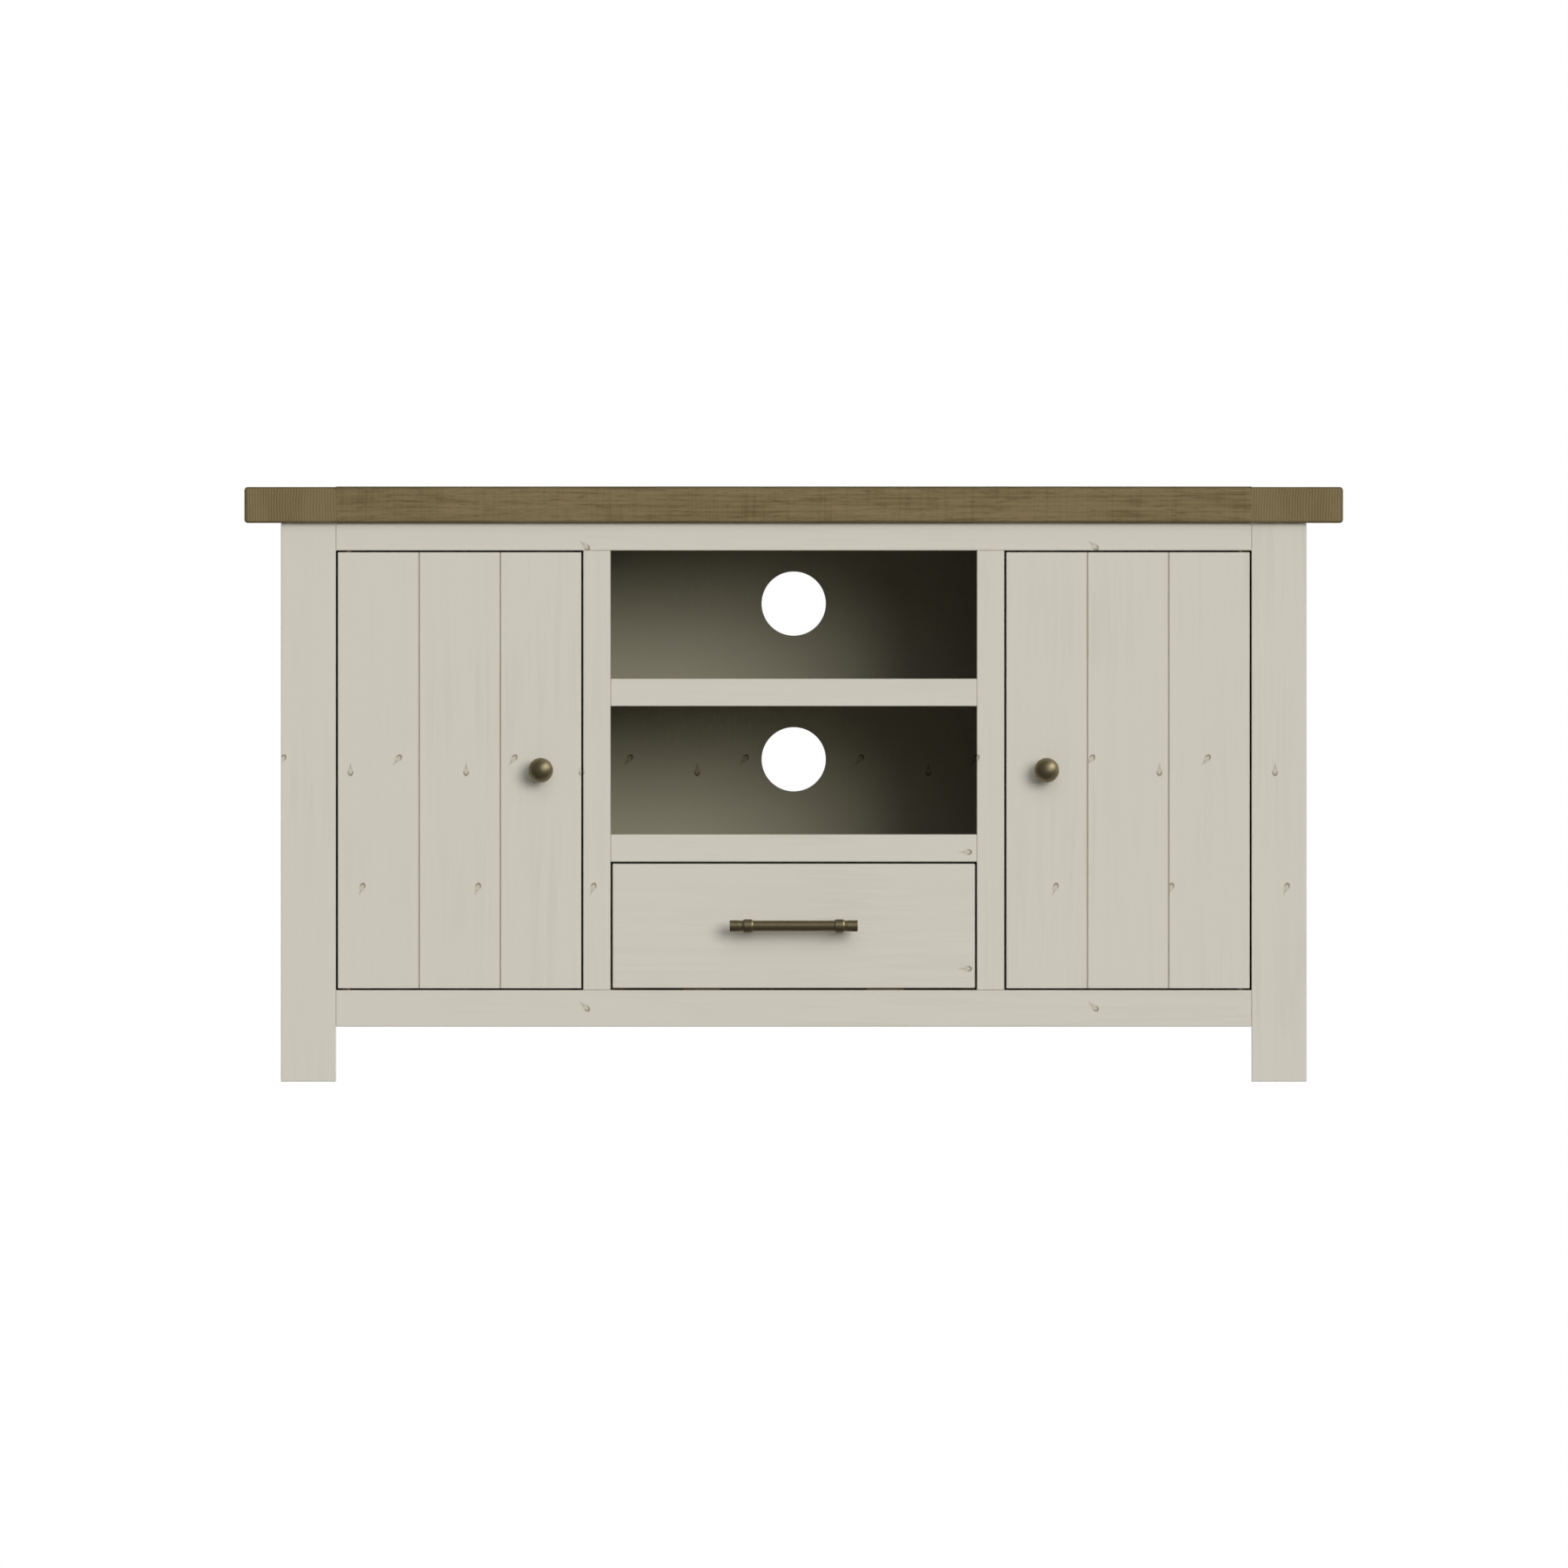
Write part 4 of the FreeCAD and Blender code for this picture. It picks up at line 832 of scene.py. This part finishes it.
coat(level_paint, "drawer_front")
coat(bare_pine("drawer_side_pine", "Y", PINE, PINE_DARK), "drawer_side_left",
     "drawer_side_right", "drawer_runners")
coat(bare_pine("drawer_back_pine", "X", PINE, PINE_DARK), "drawer_back", "drawer_stops")
coat(bare_pine("drawer_plywood", "X", BIRCH, BIRCH_DARK), "drawer_bottom")

# ---------------------------------------------------------------------------------------------
# Pivot hinges and shelf pins.
# Flat brass leaves are let into the rails and the door edges. The steel pin of the frame leaf
# turns in the door leaf on a raised ring. The shelves rest on plain steel pins.
# ---------------------------------------------------------------------------------------------


def plated_metal(name, colour, roughness):
    """Bright plated metal with faint drawing lines and finger marks."""
    material, tree, shader, place, _ = new_finish(name)
    marks = noise(tree, place, (60.0, 60.0, 60.0), detail=4.0)
    lines = noise(tree, place, (200.0, 3000.0, 3000.0), detail=1.0)
    dull = tuple(0.72 * part for part in colour)
    tree.links.new(blended(tree, ramp(tree, marks, 0.4, 0.7), colour, dull),
                   shader.inputs["Base Color"])
    shader.inputs["Metallic"].default_value = 1.0
    tree.links.new(math_node(tree, "ADD", roughness, times(tree, lines, 0.15)),
                   shader.inputs["Roughness"])
    return material


hinge_brass = plated_metal("hinge_brass", (0.300, 0.235, 0.125), 0.42)
bright_steel = plated_metal("bright_steel", (0.560, 0.550, 0.530), 0.24)
coat(hinge_brass, "hinge_frame_leaves", "left_hinge_leaves", "right_hinge_leaves")
coat(bright_steel, "hinge_pins", "shelf_pins", "left_catch_plate", "right_catch_plate")

# ---------------------------------------------------------------------------------------------
# Screws and bolts.
# Yellow zinc plated countersunk wood screws with a cross recess hold the top, the hinges, the
# catches and the battens. Round-headed brass bolts come through the doors and the drawer front
# from inside and hold the knobs and the handle.
# ---------------------------------------------------------------------------------------------

zinc = plated_metal("yellow_zinc", (0.480, 0.400, 0.240), 0.34)
HEAD_RADIUS = 0.0035
HEAD_HEIGHT = 0.0018
HEAD_RINGS = np.array([0.0004, 0.0008, 0.0012, 0.0016, 0.0020, 0.0024, 0.0030, 0.0034])
SLOT_HALF_WIDTH = 0.00048
SLOT_REACH = 0.0021
SLOT_DEPTH = 0.0011
SHANK_RADIUS = 0.00172
THREAD_PITCH = 0.0016
TIP_LENGTH = 0.004
SCREW_SIDES = 32


def screw_mesh(origin, axis, length):
    """A countersunk screw with its head's flat at the origin and its tip along the axis.

    The head's rings sink into a cross, where the smaller of the two in-plane distances is
    under the slot's half width. The thread is a ridge of radius (0.72 + 0.28 * ridge cubed)
    that winds round the shank and falls off to a point over the last stretch.
    """
    axis = np.asarray(axis, float)
    sides = SCREW_SIDES
    angle = np.arange(sides) * 2 * np.pi / sides + np.pi / 4
    u = HEAD_RINGS[:, None] * np.cos(angle)
    v = HEAD_RINGS[:, None] * np.sin(angle)
    narrow = np.minimum(np.abs(u), np.abs(v))
    wide = np.maximum(np.abs(u), np.abs(v))
    in_slot = np.clip((SLOT_HALF_WIDTH - narrow) / 0.00016, 0, 1)
    top_depth = SLOT_DEPTH * (in_slot * np.clip((SLOT_REACH - wide) / 0.0004, 0, 1))
    rim = np.array([[0.00012, HEAD_RADIUS], [0.0003, HEAD_RADIUS], [HEAD_HEIGHT, SHANK_RADIUS]])
    shank = np.linspace(HEAD_HEIGHT + 0.0004, length - 0.0003, int(length / THREAD_PITCH * 5))
    taper = np.clip((length - shank) / TIP_LENGTH, 0.05, 1)
    ridge = 0.5 + 0.5 * np.cos(angle[None, :] - 2 * np.pi * shank[:, None] / THREAD_PITCH)
    shank_radius = SHANK_RADIUS * taper[:, None] * (0.72 + 0.28 * ridge ** 3)
    depths = np.concatenate([top_depth, np.repeat(rim[:, :1], sides, 1),
                             np.repeat(shank[:, None], sides, 1)])
    radii = np.concatenate([np.repeat(HEAD_RINGS[:, None], sides, 1),
                            np.repeat(rim[:, 1:], sides, 1), shank_radius])
    rings = depths[..., None] * axis + radii[..., None] * round_about(axis, angle)[None]
    points, faces = closed_skin(rings, np.array([[SLOT_DEPTH], [length]]) * axis)
    return points + np.asarray(origin, float), faces


def fastener_axis(cloud):
    """Where a fastener's head lies and which way it points: the head is its wide end."""
    low, high = cloud.min(axis=0), cloud.max(axis=0)
    way = int(np.argmax(high - low))
    middle = (low + high) / 2
    at_low = cloud[cloud[:, way] < low[way] + 0.0004]
    at_high = cloud[cloud[:, way] > high[way] - 0.0004]
    cross = [axis for axis in range(3) if axis != way]
    low_is_head = np.ptp(at_low[:, cross[0]]) > np.ptp(at_high[:, cross[0]])
    axis = np.zeros(3)
    axis[way] = 1.0 if low_is_head else -1.0
    origin = middle.copy()
    origin[way] = low[way] if low_is_head else high[way]
    return origin, axis, high[way] - low[way]


def stacked(meshes):
    """Several meshes as one list of points and faces."""
    points, faces, base = [], [], 0
    for some_points, some_faces in meshes:
        points.append(some_points)
        faces += [[corner + base for corner in face] for face in some_faces]
        base += len(some_points)
    return np.concatenate(points), faces


for node, body, name in (("top_screws", "cabinet", "top_fixing_screws"),
                         ("frame_screws", "cabinet", "hinge_and_catch_screws"),
                         ("left_door_screws", "left_door", "left_door_fixings"),
                         ("right_door_screws", "right_door", "right_door_fixings")):
    points, faces = stacked([screw_mesh(*fastener_axis(cloud)) for cloud in solids(node)])
    new_piece(name, points, faces, zinc, body, [node])

BOLT_RADIUS = 0.0020
BOLT_HEAD = 0.0040
BOLT_HEAD_HEIGHT = 0.0025
BOLT_PITCH = 0.0007
BOLT_ROW = 0.00018
BOLT_SIDES = 28


def bolt_mesh(origin, axis, length):
    """A bolt with a domed head. Its thread takes 0.2 mm * (1 + cos(winding)) off the shank."""
    dome = np.array([(0.0, 0.0), (0.0002, 0.0014), (0.0006, 0.0026), (0.0013, 0.0036),
                     (0.0021, BOLT_HEAD), (BOLT_HEAD_HEIGHT, BOLT_HEAD)])
    shank = np.linspace(BOLT_HEAD_HEIGHT, length - 0.0004, int(length / BOLT_ROW))
    rod = np.stack([shank, np.full(len(shank), BOLT_RADIUS)], axis=1)
    profile = np.concatenate([dome, rod, [(length, BOLT_RADIUS - 0.0004), (length, 0.0)]])

    def thread(angle, s):
        groove = 0.0002 * (1 + np.cos(2 * np.pi * s / BOLT_PITCH - angle))
        return np.where((s > BOLT_HEAD_HEIGHT) & (s < length - 0.0006), groove, 0.0)
    return turned(profile, origin, axis, BOLT_SIDES, thread)


for node, body in (("left_knob_bolt", "left_door"), ("right_knob_bolt", "right_door"),
                   ("handle_bolts", "drawer")):
    points, faces = stacked([bolt_mesh(*fastener_axis(cloud)) for cloud in solids(node)])
    new_piece(f"{node}_turned", points, faces, handle_brass, body, [node])

# ---------------------------------------------------------------------------------------------
# Magnetic catches.
# Brown moulded cases, screwed up under the top rail with their poles facing the door. A
# nickel plated strike plate is let into the back of each door.
# ---------------------------------------------------------------------------------------------


def moulded_plastic(name, colour):
    """Moulded plastic with a fine spark-eroded texture."""
    material, tree, shader, place, _ = new_finish(name)
    grain = noise(tree, place, (1800.0, 1800.0, 1800.0), detail=2.0)
    cloud = noise(tree, place, (40.0, 40.0, 40.0))
    dark = tuple(0.8 * part for part in colour)
    tree.links.new(blended(tree, cloud, colour, dark), shader.inputs["Base Color"])
    tree.links.new(ramp(tree, grain, 0.2, 0.8, 0.42, 0.58), shader.inputs["Roughness"])
    emboss(tree, shader, grain, 0.25, 0.0001)
    return material


coat(moulded_plastic("catch_plastic", (0.180, 0.110, 0.062)), "catch_bodies")

# ---------------------------------------------------------------------------------------------
# Floor, light and camera.
# A pale matt floor under a soft key from the front right, a scrim above the front and two weak
# lamps behind. The softboxes only shine in the brass. A level camera looks straight at it.
# ---------------------------------------------------------------------------------------------

floor_mesh = bpy.data.meshes.new("studio_floor")
FLOOR_REACH = 60.0
floor_mesh.from_pydata([(-FLOOR_REACH, -FLOOR_REACH, 0), (FLOOR_REACH, -FLOOR_REACH, 0),
                        (FLOOR_REACH, FLOOR_REACH, 0), (-FLOOR_REACH, FLOOR_REACH, 0)],
                       [], [(0, 1, 2, 3)])
studio_floor = bpy.data.objects.new("studio_floor", floor_mesh)
bpy.context.scene.collection.objects.link(studio_floor)
pale = bpy.data.materials.new("pale_floor")
pale.use_nodes = True
pale.node_tree.nodes["Principled BSDF"].inputs["Base Color"].default_value = (0.80, 0.80, 0.79, 1)
pale.node_tree.nodes["Principled BSDF"].inputs["Roughness"].default_value = 0.9
floor_mesh.materials.append(pale)
studio_floor.visible_diffuse = False
studio_floor.visible_glossy = False

world = bpy.data.worlds.new("studio")
world.use_nodes = True
bpy.context.scene.world = world
sky = world.node_tree
path = add_node(sky, "ShaderNodeLightPath").outputs
fill = add_node(sky, "ShaderNodeBackground", {"Color": (1.0, 0.99, 0.97, 1.0), "Strength": 0.27})
rise = split(sky, add_node(sky, "ShaderNodeTexCoord").outputs["Generated"])[2]
gloss = add_node(sky, "ShaderNodeBackground",
                 {"Color": (1.0, 0.98, 0.95, 1.0),
                  "Strength": ramp(sky, rise, -0.55, -0.15, 0.0, 0.07)})
backdrop = add_node(sky, "ShaderNodeBackground", {"Color": (1.0, 1.0, 1.0, 1.0), "Strength": 1.0})
soft = add_node(sky, "ShaderNodeMixShader",
                {0: path["Is Glossy Ray"], 1: fill.outputs[0], 2: gloss.outputs[0]})
either = add_node(sky, "ShaderNodeMixShader",
                  {0: path["Is Camera Ray"], 1: soft.outputs[0], 2: backdrop.outputs[0]})
sky.links.new(either.outputs[0], sky.nodes["World Output"].inputs["Surface"])


def add_sun(name, towards, strength, spread):
    """A far soft lamp that shines along a direction."""
    lamp = bpy.data.lights.new(name, "SUN")
    lamp.energy = strength
    lamp.angle = spread
    holder = bpy.data.objects.new(name, lamp)
    holder.rotation_euler = Vector(towards).to_track_quat("-Z", "Y").to_euler()
    holder.visible_glossy = False
    bpy.context.scene.collection.objects.link(holder)


def add_softbox(name, place, size, power):
    """A round softbox aimed at the cabinet, which only shows in glossy finishes."""
    lamp = bpy.data.lights.new(name, "AREA")
    lamp.shape = "DISK"
    lamp.size = size
    lamp.energy = power
    holder = bpy.data.objects.new(name, lamp)
    holder.location = place
    aim = Vector((0.0, -0.2, 0.3)) - Vector(place)
    holder.rotation_euler = aim.to_track_quat("-Z", "Y").to_euler()
    holder.visible_diffuse = False
    holder.visible_camera = False
    bpy.context.scene.collection.objects.link(holder)


add_sun("key_lamp", (-0.466, 1.0, -0.235), 1.88, 0.50)
add_sun("front_scrim", (-0.150, 0.853, -0.450), 0.75, 0.80)
add_sun("back_left_lamp", (0.60, -0.60, -0.52), 1.2, 0.7)
add_sun("back_right_lamp", (-0.45, -0.75, -0.40), 0.6, 0.7)
add_softbox("side_softbox", (7.9, -2.4, 5.9), 6.4, 470)
add_softbox("high_softbox", (4.5, -6.5, 3.9), 7.8, 340)

view = bpy.data.cameras.new("front_view")
view.type = "ORTHO"
view.ortho_scale = 1.7125
camera = bpy.data.objects.new("front_view", view)
camera.location = (-0.0106, -4.0, 0.325)
camera.rotation_euler = (math.radians(90), 0, 0)
bpy.context.scene.collection.objects.link(camera)
bpy.context.scene.camera = camera
bpy.context.scene.view_settings.view_transform = "Standard"
